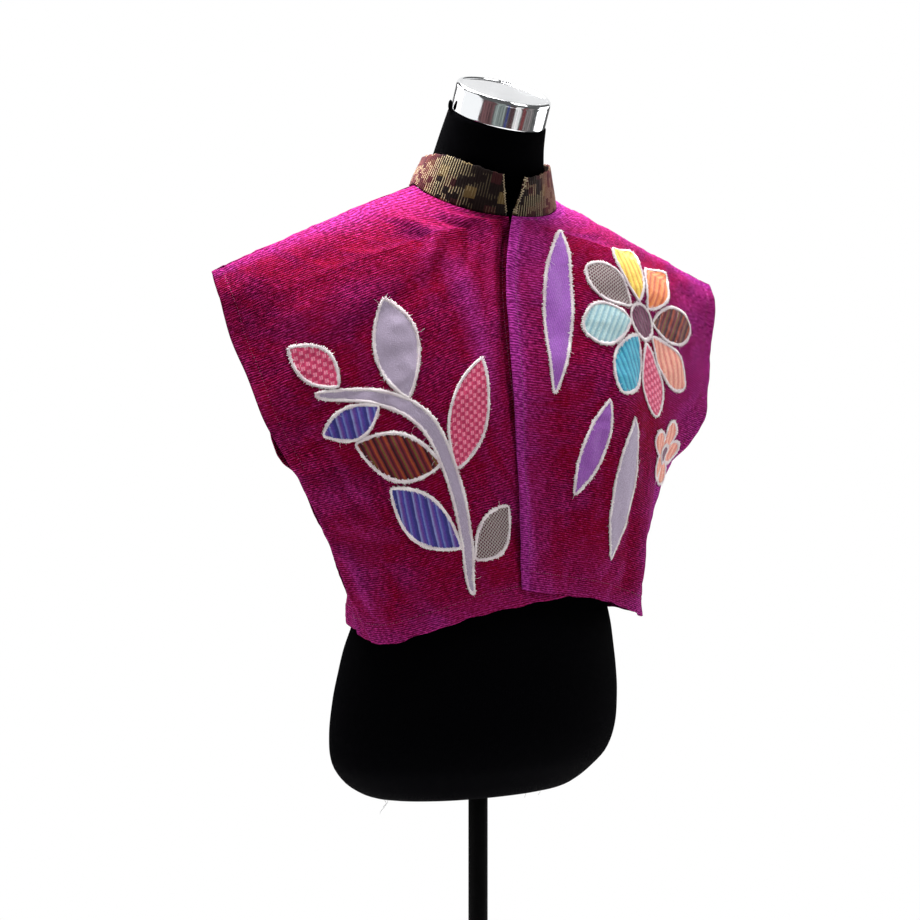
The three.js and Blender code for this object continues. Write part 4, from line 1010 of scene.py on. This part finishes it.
def couching(side, pieces, rng):
    """Cord laid round every piece's cut edge, the zigzag of thread that holds it, and the
    short ends that stand out of it."""
    sizes = bpy.context.scene.shrug_sizes
    half, pitch = sizes.couching_width / MM / 2, sizes.stitch_pitch / MM
    per = 6  # points to each stitch of the zigzag
    cords, zigzags, whiskers = [], [], []
    for _, _, _, place, length, lift in pieces:
        u, v = outline(place, length, 1.0)
        swell = 1 + 0.16 * ripple(u, v, 5, 81) + 0.1 * rng.normal(size=len(u))
        height = 0.6 * np.clip(swell, 0.7, 1.4)
        cords.append(laid_threads(side, u[None], v[None], lift + 0.1 + height, half * 0.6 * swell, height, 8,
                                  closed=True))
        u, v = outline(place, length, pitch / per)
        u, v = u[:len(u) // per * per], v[:len(u) // per * per]
        along_u, along_v = np.roll(u, -1) - np.roll(u, 1), np.roll(v, -1) - np.roll(v, 1)
        run = np.hypot(along_u, along_v)
        phase = 2 * np.pi * np.arange(len(u)) / per
        reach = 1 + 0.22 * np.repeat(rng.normal(size=len(u) // per), per)
        throw = half * reach * (np.sin(phase) + 0.1 * rng.normal(size=len(u)))
        arch = lift + 0.25 + 1.25 * np.cos(phase) ** 2
        zigzag_u, zigzag_v = u - along_v / run * throw, v + along_u / run * throw
        zigzags.append(laid_threads(side, zigzag_u[None], zigzag_v[None], arch, *ZIGZAG_THREAD, closed=True))
        count = int(len(u) / per * pitch / 1.9)  # a loose end every 1.9 mm
        start = rng.integers(0, len(u), count)
        way = np.arctan2(along_v[start], along_u[start]) + rng.normal(0, 0.9, count)
        reach = rng.uniform(1.5, 4.2, count) * (1 + 1.2 * (rng.random(count) < 0.08))
        curl, k = rng.normal(0, 0.7, count), np.linspace(0, 1, 5)
        turn = way[:, None] + curl[:, None] * k
        end_u = u[start][:, None] + np.cumsum(np.cos(turn) * reach[:, None] / 4, axis=1)
        end_v = v[start][:, None] + np.cumsum(np.sin(turn) * reach[:, None] / 4, axis=1)
        rise = lift + 1.0 + rng.uniform(0, 1.1, count)[:, None] * k
        whiskers.append(laid_threads(side, end_u, end_v, rise, *LOOSE_END))
    return joined(cords), joined(zigzags), joined(whiskers)


def running_stitch(side, ends, rng):
    """Row of stitches from one flat place to another: short threads that dip at both ends."""
    (u0, v0), (u1, v1) = ends
    total = np.hypot(u1 - u0, v1 - v0)
    middle = np.arange(STITCH_PITCH, total - STITCH_PITCH / 2, STITCH_PITCH) / total
    along = np.linspace(-0.5, 0.5, 4) * STITCH_LENGTH / total
    f = middle[:, None] + along + rng.normal(0, 0.06, len(middle))[:, None] * STITCH_PITCH / total
    wander = rng.normal(0, 0.12, len(middle))[:, None]
    u = u0 + (u1 - u0) * f - (v1 - v0) / total * wander
    v = v0 + (v1 - v0) * f + (u1 - u0) / total * wander
    return laid_threads(side, u, v, [-0.05, 0.34, 0.34, -0.05], *SEWING_THREAD)


def form_place(t, angle, inset=0.0):
    """Torso: superellipse sections whose sizes follow the table, leaning with their tilt."""
    width, depth, y, square, tilt = follow(FORM_SECTIONS, t, "width", "depth", "y", "square", "tilt")
    power, lean = 2 / square, np.radians(tilt)
    x = (width - inset) * np.sign(np.cos(angle)) * np.abs(np.cos(angle)) ** power
    d = (depth - inset) * np.sign(np.sin(angle)) * np.abs(np.sin(angle)) ** power
    return stack(x, y + d * np.cos(lean), TORSO_BASE + t + d * np.sin(lean))


def blob(centre, axes):
    """Closed ellipsoid: centre and three half axes as vectors."""
    sides, rings = 16, 9
    ring, angle = grid(np.linspace(0, np.pi, rings), circle(sides))
    ball = stack(np.sin(ring) * np.cos(angle), np.sin(ring) * np.sin(angle), np.cos(ring))
    return ball @ np.array(axes, float) + centre, grid_faces(rings, sides, False, True)


def on_neck(points):
    """Points round an upright axis, leant with the neck and set on its top."""
    x, y, z = points.T
    lean = np.radians(NECK_TILT)
    return stack(x, NECK_Y + y * np.cos(lean) - z * np.sin(lean),
                 TORSO_BASE + NECK_TOP + y * np.sin(lean) + z * np.cos(lean))


def band_place(f, turn, out=0.0):
    """Collar: f from the neckline to its top, turn in degrees round the neck (90 the front,
    0 the left, -90 the back), out its distance from the outer side."""
    side = np.where(turn >= -90, 1.0, -1.0)
    fold = np.where(side > 0, turn, -180 - turn)
    low = round_neck(NECKLINE, fold, side) + (0, 0, COLLAR_LIFT)
    high = round_neck(COLLAR_TOP, fold, side)
    place = lerp(low, high, f[:, None])
    angle = np.radians(fold)
    outward = unit(stack(side * np.cos(angle) / NECKLINE["width"], -np.sin(angle) / NECKLINE["depth"],
                         0.0035))
    return place + outward * np.asarray(out)[..., None], outward


# ---------------------------------------------------------------- sizes and colours a user changes
def length_property(name, description, value, low, high):
    """Length in metres"""
    return bpy.props.FloatProperty(name=name, description=description, default=value, min=low, max=high,
                                   unit="LENGTH")


def colour_property(name, description, value):
    """Colour whose default is an sRGB hex value"""
    triple = [int(value[i:i + 2], 16) / 255 for i in (0, 2, 4)]
    return bpy.props.FloatVectorProperty(name=name, description=description, default=triple, size=3,
                                         min=0.0, max=1.0, subtype="COLOR_GAMMA")


class ShrugSizes(bpy.types.PropertyGroup):
    """Sizes of the shrug's cloth and sewing"""
    cloth: length_property("Cloth", "Thickness of the handwoven cotton", 0.0012, 0.0005, 0.002)
    rib_pitch: length_property("Rib pitch", "Distance between the weave's ribs", 0.0024, 0.001, 0.008)
    hem_depth: length_property("Hem", "Depth of the turned hem", 0.023, 0.005, 0.05)
    couching_width: length_property("Couching", "Width of the zigzag round each applique piece",
                                    0.0042, 0.001, 0.008)
    stitch_pitch: length_property("Zigzag pitch", "Distance between the zigzag's threads",
                                  0.0018, 0.0008, 0.005)
    fold_depth: bpy.props.FloatProperty(
        name="Fold depth", description="Share of the folds' full depth", default=1.0, min=0.0,
        max=1.5, subtype="FACTOR")


class ShrugColours(bpy.types.PropertyGroup):
    """Colours of the shrug and its form, in sRGB"""
    # groove and ground are partly painted shade on the ribs' grooves and shaded sides, weft and crest partly
    # painted highlight on their lit sides and tops; the rest is the yarn's own slub tones, and crest also
    # colours the painted glints
    groove: colour_property("Groove", "Between the ribs of the cotton", "2A0212")
    ground: colour_property("Ground", "Shaded side of the ribs", "5C0422")
    weft: colour_property("Weft", "Lit side of the ribs", "7A0530")
    crest: colour_property("Crest", "Slubs on top of the ribs", "BC2468")
    red_fleck: colour_property("Red fleck", "Redder slubs of the weft", "7C041C")
    # warp_dark and warp_light paint the violet warp darker in the grooves as shade and lighter where it turns
    # to the light as highlight
    warp_dark: colour_property("Warp dark", "Blue-violet warp in the grooves", "6A185E")
    warp_light: colour_property("Warp light", "Blue-violet warp where it turns to the light", "C444B0")
    bloom: colour_property("Bloom", "Sheen of the cotton at its outline", "D98AE0")
    sewing: colour_property("Sewing thread", "Stitches of hems and edges", "8C1E58")
    couching: colour_property("Couching thread", "Light plies of the couched cord", "F6F0F0")
    couching_dark: colour_property("Couching shade", "Dark plies of the couched cord", "CDB9C2")
    band_dark: colour_property("Band dark", "Ground of the collar cloth", "160B0A")
    band_brown: colour_property("Band brown", "Red-brown blocks of the collar cloth", "341416")
    band_olive: colour_property("Band olive", "Olive blocks of the collar cloth", "5E4C2C")
    band_gold: colour_property("Band gold", "Warp lines of the collar cloth", "A08A5C")
    band_light: colour_property("Band light", "Brightest warp of the collar cloth", "E6D6AC")
    band_red: colour_property("Band red", "Red-brown stretch of the collar cloth", "5A121C")
    jersey: colour_property("Jersey", "Lint on the form's jersey", "050507")
    jersey_dark: colour_property("Jersey dark", "The form's jersey", "010102")
    chrome: colour_property("Chrome", "Plate of the neck cap", "D6D8DA")
    coat: colour_property("Stand", "Powder coat of the pole and foot", "010101")
    coat_dust: colour_property("Stand dust", "Dust in the powder coat", "050506")


# ---------------------------------------------------------------- operators
class SHRUG_OT_form(bpy.types.Operator):
    """Make the jersey-covered torso with its neck, the tied tab at the nape and loose threads"""
    bl_idname = "shrug.form"
    bl_label = "Dress form"

    def execute(self, context):
        cloth = finish("black cotton jersey", jersey, context.scene.shrug_colours)
        sides = 144
        around = circle(sides)
        heights = np.concatenate([np.linspace(-11, 4, 10), np.linspace(8, 600, 110),
                                  np.linspace(603, NECK_TOP, 38)])
        t, angle = grid(heights, around)
        inset = 0.45 * smooth(t, 100, 160) * smooth(-t, -645, -615)  # pressed in under the cotton
        body = form_place(t, angle, inset).reshape(len(heights), sides, 3)

        # socket for the pole, underside, and the top under the cap close the body
        def ring(radius, z):
            return stack(radius * np.cos(around), radius * np.sin(around), z)
        base, socket = TORSO_BASE + heights[0], POLE_RADIUS + 0.5
        low = [ring(0, SOCKET_TOP), ring(socket, SOCKET_TOP), ring(socket, base + 1)]
        low += [lerp(ring(socket + 1, base), body[0], f) for f in (0.0, 0.35, 0.7, 0.93)]
        high = [on_neck(ring(40, 0)), on_neck(ring(0, 0))]
        points = np.concatenate([np.array(low), body, np.array(high)])
        faces = grid_faces(len(points), sides, False, True)
        i, j = np.divmod(np.arange(len(faces)), sides)
        v = np.concatenate([np.linspace(-110, -16, len(low)), heights, [730, 770]])
        corner_u = np.stack([j, j + 1, j + 1, j], axis=1) * JERSEY_ROUND / sides
        corner_v = v[np.stack([i, i, i + 1, i + 1], axis=1)]
        piece = make("form_body_jersey", points.reshape(-1, 3), faces,
                     uv=stack(corner_u, corner_v).reshape(-1, 2), merge=True)
        fit(piece, cloth, "jersey", "form_body")

        # tab beside the cap's rim, in the cap's own upright place
        turn = np.radians(168)
        away, along = np.array([(np.cos(turn), np.sin(turn), 0), (-np.sin(turn), np.cos(turn), 0)])
        upward = np.array([0, 0, 1])
        points, faces = blob(away * (CAP_RADIUS + 3.2) + upward * 5.2,
                             (away * 2.3, along * 3.2, upward * 5.8 + away * 0.8))
        points = on_neck(points)
        fit(make("nape_tab", points, faces, uv=points[:, 1:], merge=True), cloth, "jersey")

        # loose threads that hang from the torso's lower edge
        rng = np.random.default_rng(5)
        k = np.linspace(0, 1, 9)
        start = form_place(np.full(5, -6.0), np.radians([-166, -163, -79, -68, 20]))
        drop = np.array([14.0, 9, 6, 5, 9])[:, None]
        sway = rng.normal(0, 0.45, (5, 2))
        paths = stack(start[:, :1] + drop * (sway[:, :1] * k + 0.25 * np.sin(5 * k)),
                      start[:, 1:2] + drop * sway[:, 1:] * k, start[:, 2:] - drop * k)
        points, faces = tubes(paths, stack(0 * paths[..., 0], 1, 0), *JERSEY_THREAD)
        thread = finish("black polyester thread", spun_thread, "26262B", "0C0C0E")
        fit(make("form_loose_threads", points, faces), thread, "jersey")
        return {"FINISHED"}


class SHRUG_OT_stand(bpy.types.Operator):
    """Make the chrome neck cap, the pole and the round foot"""
    bl_idname = "shrug.stand"
    bl_label = "Cap and stand"

    def execute(self, context):
        colours = context.scene.shrug_colours
        plate = finish("polished chrome plate", chrome, colours)
        steel = finish("black powder-coated steel", satin_black, colours)
        wall, rim_top = CAP_RADIUS, CAP_HEIGHT
        cap = [(0, 0), (wall - 0.9, 0), (wall - 0.2, 1.2), (wall, 2.5), (wall, rim_top - 6),
               (wall + 0.2, rim_top - 4.2), (wall - 0.3, rim_top - 1.9), (wall - 1.9, rim_top - 0.1),
               (wall - 3.6, rim_top), (wall - 4.6, rim_top - 1.3), (wall - 6.2, rim_top - 1.7),
               (wall * 0.8, rim_top - 1.5), (wall * 0.4, rim_top - 1.2), (0, rim_top - 1.1)]
        radius, foot, top = POLE_RADIUS, PLATE_FLOOR + STAND_GAP, SOCKET_TOP - STAND_GAP
        pole = [(0, foot), (radius, foot), (radius, 300), (radius, 301), (radius, top), (0, top)]
        bore, edge = POLE_RADIUS + STAND_GAP, PLATE_RADIUS
        plate_profile = [(0, 0), (edge - 1.5, 0), (edge, 1.5), (edge, 6), (edge - 2, 8.5), (edge - 8, 10.5),
                         (60, 15), (26, 17), (21, 19), (19, 24), (19, 30), (19.8, 31), (19.8, 41), (19, 42),
                         (19, 44.5), (17.5, 46), (bore, 46), (bore, PLATE_FLOOR), (0, PLATE_FLOOR)]
        for name, profile, sides, material, slot, node_name in (
                ("neck_cap_chrome", cap, 128, plate, "chrome", "neck_cap"),
                ("pole_tube", pole, 64, steel, "satin_black", "pole"),
                ("round_foot", plate_profile, 160, steel, "satin_black", "base")):
            points, faces = lathe(profile, sides)
            if profile is cap:
                points = on_neck(points + (0, 0, STAND_GAP))
            fit(make(name, points, faces, merge=True), material, slot, node_name)
        return {"FINISHED"}


class SHRUG_OT_panels(bpy.types.Operator):
    """Make the two fronts and the back, folded, hemmed and seamed"""
    bl_idname = "shrug.panels"
    bl_label = "Fronts and back"

    def execute(self, context):
        scene = context.scene
        cotton = finish("handwoven shot cotton", shot_cotton, scene.shrug_colours, scene.shrug_sizes)
        thickness = scene.shrug_sizes.cloth / MM
        for name, side in ("front_right", RIGHT), ("front_left", LEFT), ("back", 0):
            columns = np.linspace(0 if side else -FRONT_WIDTH, FRONT_WIDTH, 122 if side else 221)
            rows = np.concatenate([np.linspace(0, 12, 9)[:-1], np.linspace(12, FRONT_LENGTH, 176)])
            shape = len(rows), len(columns)
            v, u = grid(rows, columns)
            out = np.abs(u)
            # the hem's edge wavers between the seams
            wave = (1.3 + 1.3 * ripple(u, 0 * u, 38, 65)) * smooth(FRONT_WIDTH - out, 0, 26)
            v = v * (1 - wave / FRONT_LENGTH)
            here, normals = base_normals(side, u, v)
            height, violet = relief(side, u, v)
            points = (here + normals * height[:, None]).reshape(*shape, 3)
            slope_v, slope_u = (slope.ravel() for slope in np.gradient(height.reshape(shape), rows, columns))
            # painted sheen and highlight in the warp's violet: where the cloth turns away, where it faces
            # sideways, on top of the shoulders and at the hem
            violet = 0.5 * violet + np.clip(-1.0 * slope_u - 0.7 * slope_v, 0, 0.12)
            violet += (0.5 if side == LEFT else 0.15) * smooth(np.abs(normals[:, 0]), 0.6, 0.95)
            violet += 0.12 * smooth(v, 405, 432) + 0.34 * smooth(normals[:, 2], 0.45, 0.95)
            if side == LEFT:  # and painted sheen and highlight on its sleeve and edge strip
                violet += 0.4 * smooth(out, 180, 280) + 0.5 * smooth(-out, -17, -7)
                violet += 0.25 * smooth(-out, -56, -14)
            points, faces = shell(points, normals.reshape(*shape, 3), np.full(shape, thickness))
            piece = make(name + "_cotton", points, faces, uv=np.tile(stack(u, v), (2, 1)),
                         values={"violet": np.tile(np.clip(violet, 0, 1), 2)})
            fit(piece, cotton, "cotton", name)
        return {"FINISHED"}


class SHRUG_OT_collar(bpy.types.Operator):
    """Make the stand collar and the thread that closes its two ends"""
    bl_idname = "shrug.collar"
    bl_label = "Collar"

    def execute(self, context):
        # the band's section: up its outer side, over the top, down the inner side, round the foot
        half, rise = COLLAR_CLOTH / 2, np.linspace(0.03, 0.97, 15)
        arc = np.linspace(0, np.pi, 7)[1:-1]
        section = np.concatenate([rise, 0.97 + 0.03 * np.sin(arc), rise[::-1], 0.03 - 0.03 * np.sin(arc)])
        depth = np.concatenate([0 * rise, -half + half * np.cos(arc), 0 * rise - COLLAR_CLOTH,
                                -half - half * np.cos(arc)])
        columns = np.linspace(0, 1, 221)
        c, level = grid(columns, section)
        turn = lerp(*(lerp(*end, level) for end in COLLAR_ENDS), c)
        run = turn * NECK_DEGREE
        out = np.tile(depth, len(columns)) + 0.25 * ripple(run, level * COLLAR_HEIGHT, 30, 90)
        out += 0.4 * bell(level - 0.5, 0.4) - 0.35 * bell(level - 0.1, 0.035)
        frayed = level * (1 + 0.022 * ripple(run, 0 * run, 9, 91) + 0.012 * ripple(run, 0 * run, 3.5, 92))
        frayed -= 0.02 * (1 - level)
        points, _ = band_place(frayed, turn, out)
        # strips across the section close the two ends
        ring = np.arange(len(section))
        a, b = ring[:len(ring) // 2], ring[::-1][:len(ring) // 2]
        strip = np.stack([a[:-1], a[1:], b[1:], b[:-1]], axis=1)
        faces = np.concatenate([grid_faces(len(columns), len(ring), False, True), strip,
                                strip[:, ::-1] + len(points) - len(ring)])
        # red stretches at the wearer's right and left front, and ends with few gold lines
        red = smooth(-turn, 112, 150) * smooth(turn, -206, -188)
        red += smooth(-turn, -68, -50) * smooth(turn, -20, 10)
        plain = smooth(-turn, 212, 240) + 0.6 * smooth(turn, 20, 50)
        band = make("collar_band", points, faces, uv=stack(run, level * COLLAR_HEIGHT),
                    values={"red": red, "plain": plain}, merge=True)
        cloth = finish("checked collar cloth", collar_cloth, context.scene.shrug_colours)
        fit(band, cloth, "collar_cloth", "collar")

        rng = np.random.default_rng(17)
        stitches, per = 15, 8
        count = stitches * per
        f, phase = np.linspace(0.03, 0.99, count), np.arange(count) * 2 * np.pi / per
        parts = []
        for end, way in zip(COLLAR_ENDS, (-1, 0.4)):
            reach = 1 + 0.5 * np.repeat(rng.normal(size=stitches), per)
            swing = way * (1.2 + 1.5 * reach * np.sin(phase) + rng.normal(0, 0.3, count))
            paths, up = band_place(f, lerp(*end, f) + swing, 0.5 + 0.3 * rng.random(count))
            parts.append(tubes(paths[None], up[None], *COLLAR_THREAD))
        thread = finish("gold cotton thread", spun_thread, "CDBB94", "6A5636")
        fit(make("collar_end_stitches", *joined(parts)), thread, "collar_cloth")
        return {"FINISHED"}


class SHRUG_OT_applique(bpy.types.Operator):
    """Make the stem, leaves and flowers sewn on the fronts"""
    bl_idname = "shrug.applique"
    bl_label = "Applique"

    def execute(self, context):
        for name, side, fabric, place, length, lift in applique_list():
            piece = sewn_patch(name + "_cloth", side, place, length, lift)
            cloth = finish(fabric.replace("_", " ") + " cotton", applique_cotton, fabric)
            fit(piece, cloth, fabric, name)
        return {"FINISHED"}


class SHRUG_OT_couching(bpy.types.Operator):
    """Make the couched cord, its zigzag and the thread ends round the applique"""
    bl_idname = "shrug.couching"
    bl_label = "Couching"

    def execute(self, context):
        colours = context.scene.shrug_colours
        thread = finish("off-white cotton thread", spun_thread, colours.couching, colours.couching_dark)
        rng = np.random.default_rng(29)
        for side, word in SIDES:
            pieces = [piece for piece in applique_list() if piece[1] == side]
            for kind, threads in zip(COUCHING, couching(side, pieces, rng)):
                fit(make(f"couched_{kind}_{word}", *threads), thread, "lavender")
        return {"FINISHED"}


class SHRUG_OT_stitching(bpy.types.Operator):
    """Make the stitches of the hems, front edges and sleeve edges"""
    bl_idname = "shrug.stitching"
    bl_label = "Stitching"

    def execute(self, context):
        colours = context.scene.shrug_colours
        hem = FRONT_LENGTH - context.scene.shrug_sizes.hem_depth / MM
        sleeve, underarm = FRONT_WIDTH - SLEEVE_HEM, UNDERARM * FRONT_LENGTH - 4
        thread = finish("magenta sewing thread", spun_thread, colours.sewing, colours.ground)
        rng = np.random.default_rng(41)
        for side, word in *SIDES, (0, "back"):
            first_u = 2 if side else 4 - FRONT_WIDTH
            lines = [((first_u, hem), (FRONT_WIDTH - 4, hem)), ((sleeve, 6), (sleeve, underarm))]
            lines.append(((FRONT_HEM, 34), (FRONT_HEM, hem)) if side else ((-sleeve, 6), (-sleeve, underarm)))
            threads = joined([running_stitch(side, ends, rng) for ends in lines])
            fit(make(f"stitches_{word}", *threads), thread, "cotton")
        return {"FINISHED"}


class SHRUG_OT_sheets(bpy.types.Operator):
    bl_idname = "shrug.sheets"
    bl_label = "Cloth sizes"

    def execute(self, context):
        for (side, word), area in zip(SIDES, (0.124, 0.134)):
            sewn = [piece[0] + "_cloth" for piece in applique_list() if piece[1] == side]
            sewn += [f"couched_{kind}_{word}" for kind in COUCHING] + [f"stitches_{word}"]
        return {"FINISHED"}


class SHRUG_OT_studio(bpy.types.Operator):
    """Set up the pale floor, the soft lights, the cards that the chrome mirrors and the camera"""
    bl_idname = "shrug.studio"
    bl_label = "Studio"

    def execute(self, context):
        scene = context.scene
        around = circle(96)
        rings = np.array([0.01, 400, 800, 1180, 1200])
        drop = np.array([0, 0, 0, 0, 12])[:, None]
        points = stack(rings[:, None] * np.cos(around), rings[:, None] * np.sin(around), -0.5 - drop)
        floor = make("floor", points.reshape(-1, 3), grid_faces(len(rings), len(around), False, True))
        floor.data.materials.append(finish("matt floor paint", studio_paint))

        def reflector(name, points, tall, paint, *tones):
            """Card of 3 by this many points, seen in the chrome only."""
            card = make(name, points, grid_faces(3, tall))
            card.data.materials.append(finish(paint, studio_card, *tones))
            card.visible_camera = card.visible_shadow = card.visible_diffuse = False
        cards = (  # name, degrees round the cap from the front, width in metres, foot, top, sRGB pair
            ("pale card", 152, 0.8, 1000, 1900, "8A8A8A", "F2F2F0"),
            ("brown card", 66, 0.56, 150, 900, "160808", "5E3A3C"),
            ("green-grey card", 34, 0.44, 150, 900, "343C3A", "7C8682"),
            ("blue card", 14, 0.1, 150, 900, "141A4E", "22307A"),
            ("black card", 1, 0.26, 150, 900, "08080A", "3A1014"),
            ("silver card", -16, 0.32, 150, 900, "6A6A68", "D8D8D6"),
            ("red card", -34, 0.18, 150, 900, "2A0A0E", "6A2626"),
            ("streaked card", -50, 0.36, 150, 900, "121010", "8A8482"),
        )
        for i, (paint, turn, width, foot, top, *tones) in enumerate(cards, 1):
            card = stack(*grid(np.linspace(-width, width, 3) * 500, [-1000.0], np.linspace(foot, top, 5)))
            spin = np.array(Euler((0, 0, np.radians(-turn))).to_matrix())
            reflector(f"studio_card_{i}", card @ spin.T, 5, paint, *tones)
        # a pale wall up behind the cap, for its dished top
        toward = np.array(Vector((0.49, 0.66, 0.57)).to_track_quat("Z", "Y").to_matrix())
        wall = stack(*grid([-600.0, 0, 600], [-600.0, 0, 600], [1200.0])) @ toward.T + (0, -50, 1230)
        reflector("studio_wall", wall, 3, "pale wall", "101010", "4A4A49", 0.93)

        lights = (  # name, place and aim in metres, width, height, watts, colour
            ("softbox_top", (-0.2, 0.3, 2.6), (0, 0, 1.05), 1.3, 1.1, 160, (1, 0.98, 1)),
            ("softbox_back", (1.1, 1.3, 2.35), (0, 0, 1.2), 1.5, 1.4, 26, (1, 1, 1)),
            ("softbox_front", (0.55, -1.35, 2.25), (0, -0.1, 0.95), 0.7, 0.7, 18, (1, 0.99, 0.98)),
            ("panel_left", (-2.1, 0.6, 1.2), (0, 0, 1.1), 2.2, 2.0, 17, (1, 1, 1)),
            ("panel_right", (2.1, 0, 1.1), (0, 0, 1), 1.6, 1.4, 22, (1, 1, 1)),
        )
        for name, place, aim, width, height, power, tint in lights:
            lamp = bpy.data.lights.new(name, "AREA")
            lamp.shape, lamp.size, lamp.size_y = "RECTANGLE", width, height
            lamp.energy, lamp.color = power, tint
            box = bpy.data.objects.new(name, lamp)
            box.location = place
            box.rotation_euler = (Vector(aim) - Vector(place)).to_track_quat("-Z", "Y").to_euler()
            box.visible_camera = False
            box.visible_glossy = name != "softbox_back"
            scene.collection.objects.link(box)

        # the background behind the object is white, and gives only a low fill
        world = bpy.data.worlds.new("white studio")
        world.use_nodes = True
        world.node_tree.nodes.clear()
        add = partial(node, world.node_tree)
        seen = add("LightPath")[0]
        strength = add("MapRange", [seen, 0, 1, 0.13, 1])[0]
        add("OutputWorld", [add("Background", [(1, 1, 1, 1), strength])[0]])
        scene.world = world
        scene.view_settings.view_transform = "Standard"

        lens = bpy.data.cameras.new("camera")
        lens.lens, lens.sensor_width = 69.07, 36.0
        camera = bpy.data.objects.new("camera", lens)
        camera.location = (-0.9744, -1.6486, 0.852)
        camera.rotation_euler = (np.radians(90), 0, np.radians(-30))
        scene.collection.objects.link(camera)
        scene.camera = camera
        return {"FINISHED"}


OPERATORS = (SHRUG_OT_studio, SHRUG_OT_form, SHRUG_OT_stand, SHRUG_OT_panels, SHRUG_OT_collar,
             SHRUG_OT_applique, SHRUG_OT_couching, SHRUG_OT_stitching, SHRUG_OT_sheets)


class SHRUG_PT_sidebar(bpy.types.Panel):
    """The shrug's sizes, colours and pieces"""
    bl_idname = "SHRUG_PT_sidebar"
    bl_label = "Kimono shrug"
    bl_space_type = "VIEW_3D"
    bl_region_type = "UI"
    bl_category = "Shrug"

    def draw(self, context):
        layout = self.layout
        for group in (context.scene.shrug_sizes, context.scene.shrug_colours):
            column = layout.column()
            for key in group.__annotations__:
                column.prop(group, key)
        for operator in OPERATORS:
            layout.operator(operator.bl_idname)


CLASSES = (ShrugSizes, ShrugColours, *OPERATORS, SHRUG_PT_sidebar)


def register():
    """Adds the add-on's classes and its two groups of properties."""
    for cls in CLASSES:
        bpy.utils.register_class(cls)
    bpy.types.Scene.shrug_sizes = bpy.props.PointerProperty(type=ShrugSizes)
    bpy.types.Scene.shrug_colours = bpy.props.PointerProperty(type=ShrugColours)


def unregister():
    """Takes them away again."""
    del bpy.types.Scene.shrug_colours
    del bpy.types.Scene.shrug_sizes
    for cls in reversed(CLASSES):
        bpy.utils.unregister_class(cls)


def main():
    """Registers the add-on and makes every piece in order."""
    register()
    for operator in OPERATORS:
        getattr(bpy.ops.shrug, operator.bl_idname.split(".")[1])()


if __name__ == "__main__":
    main()
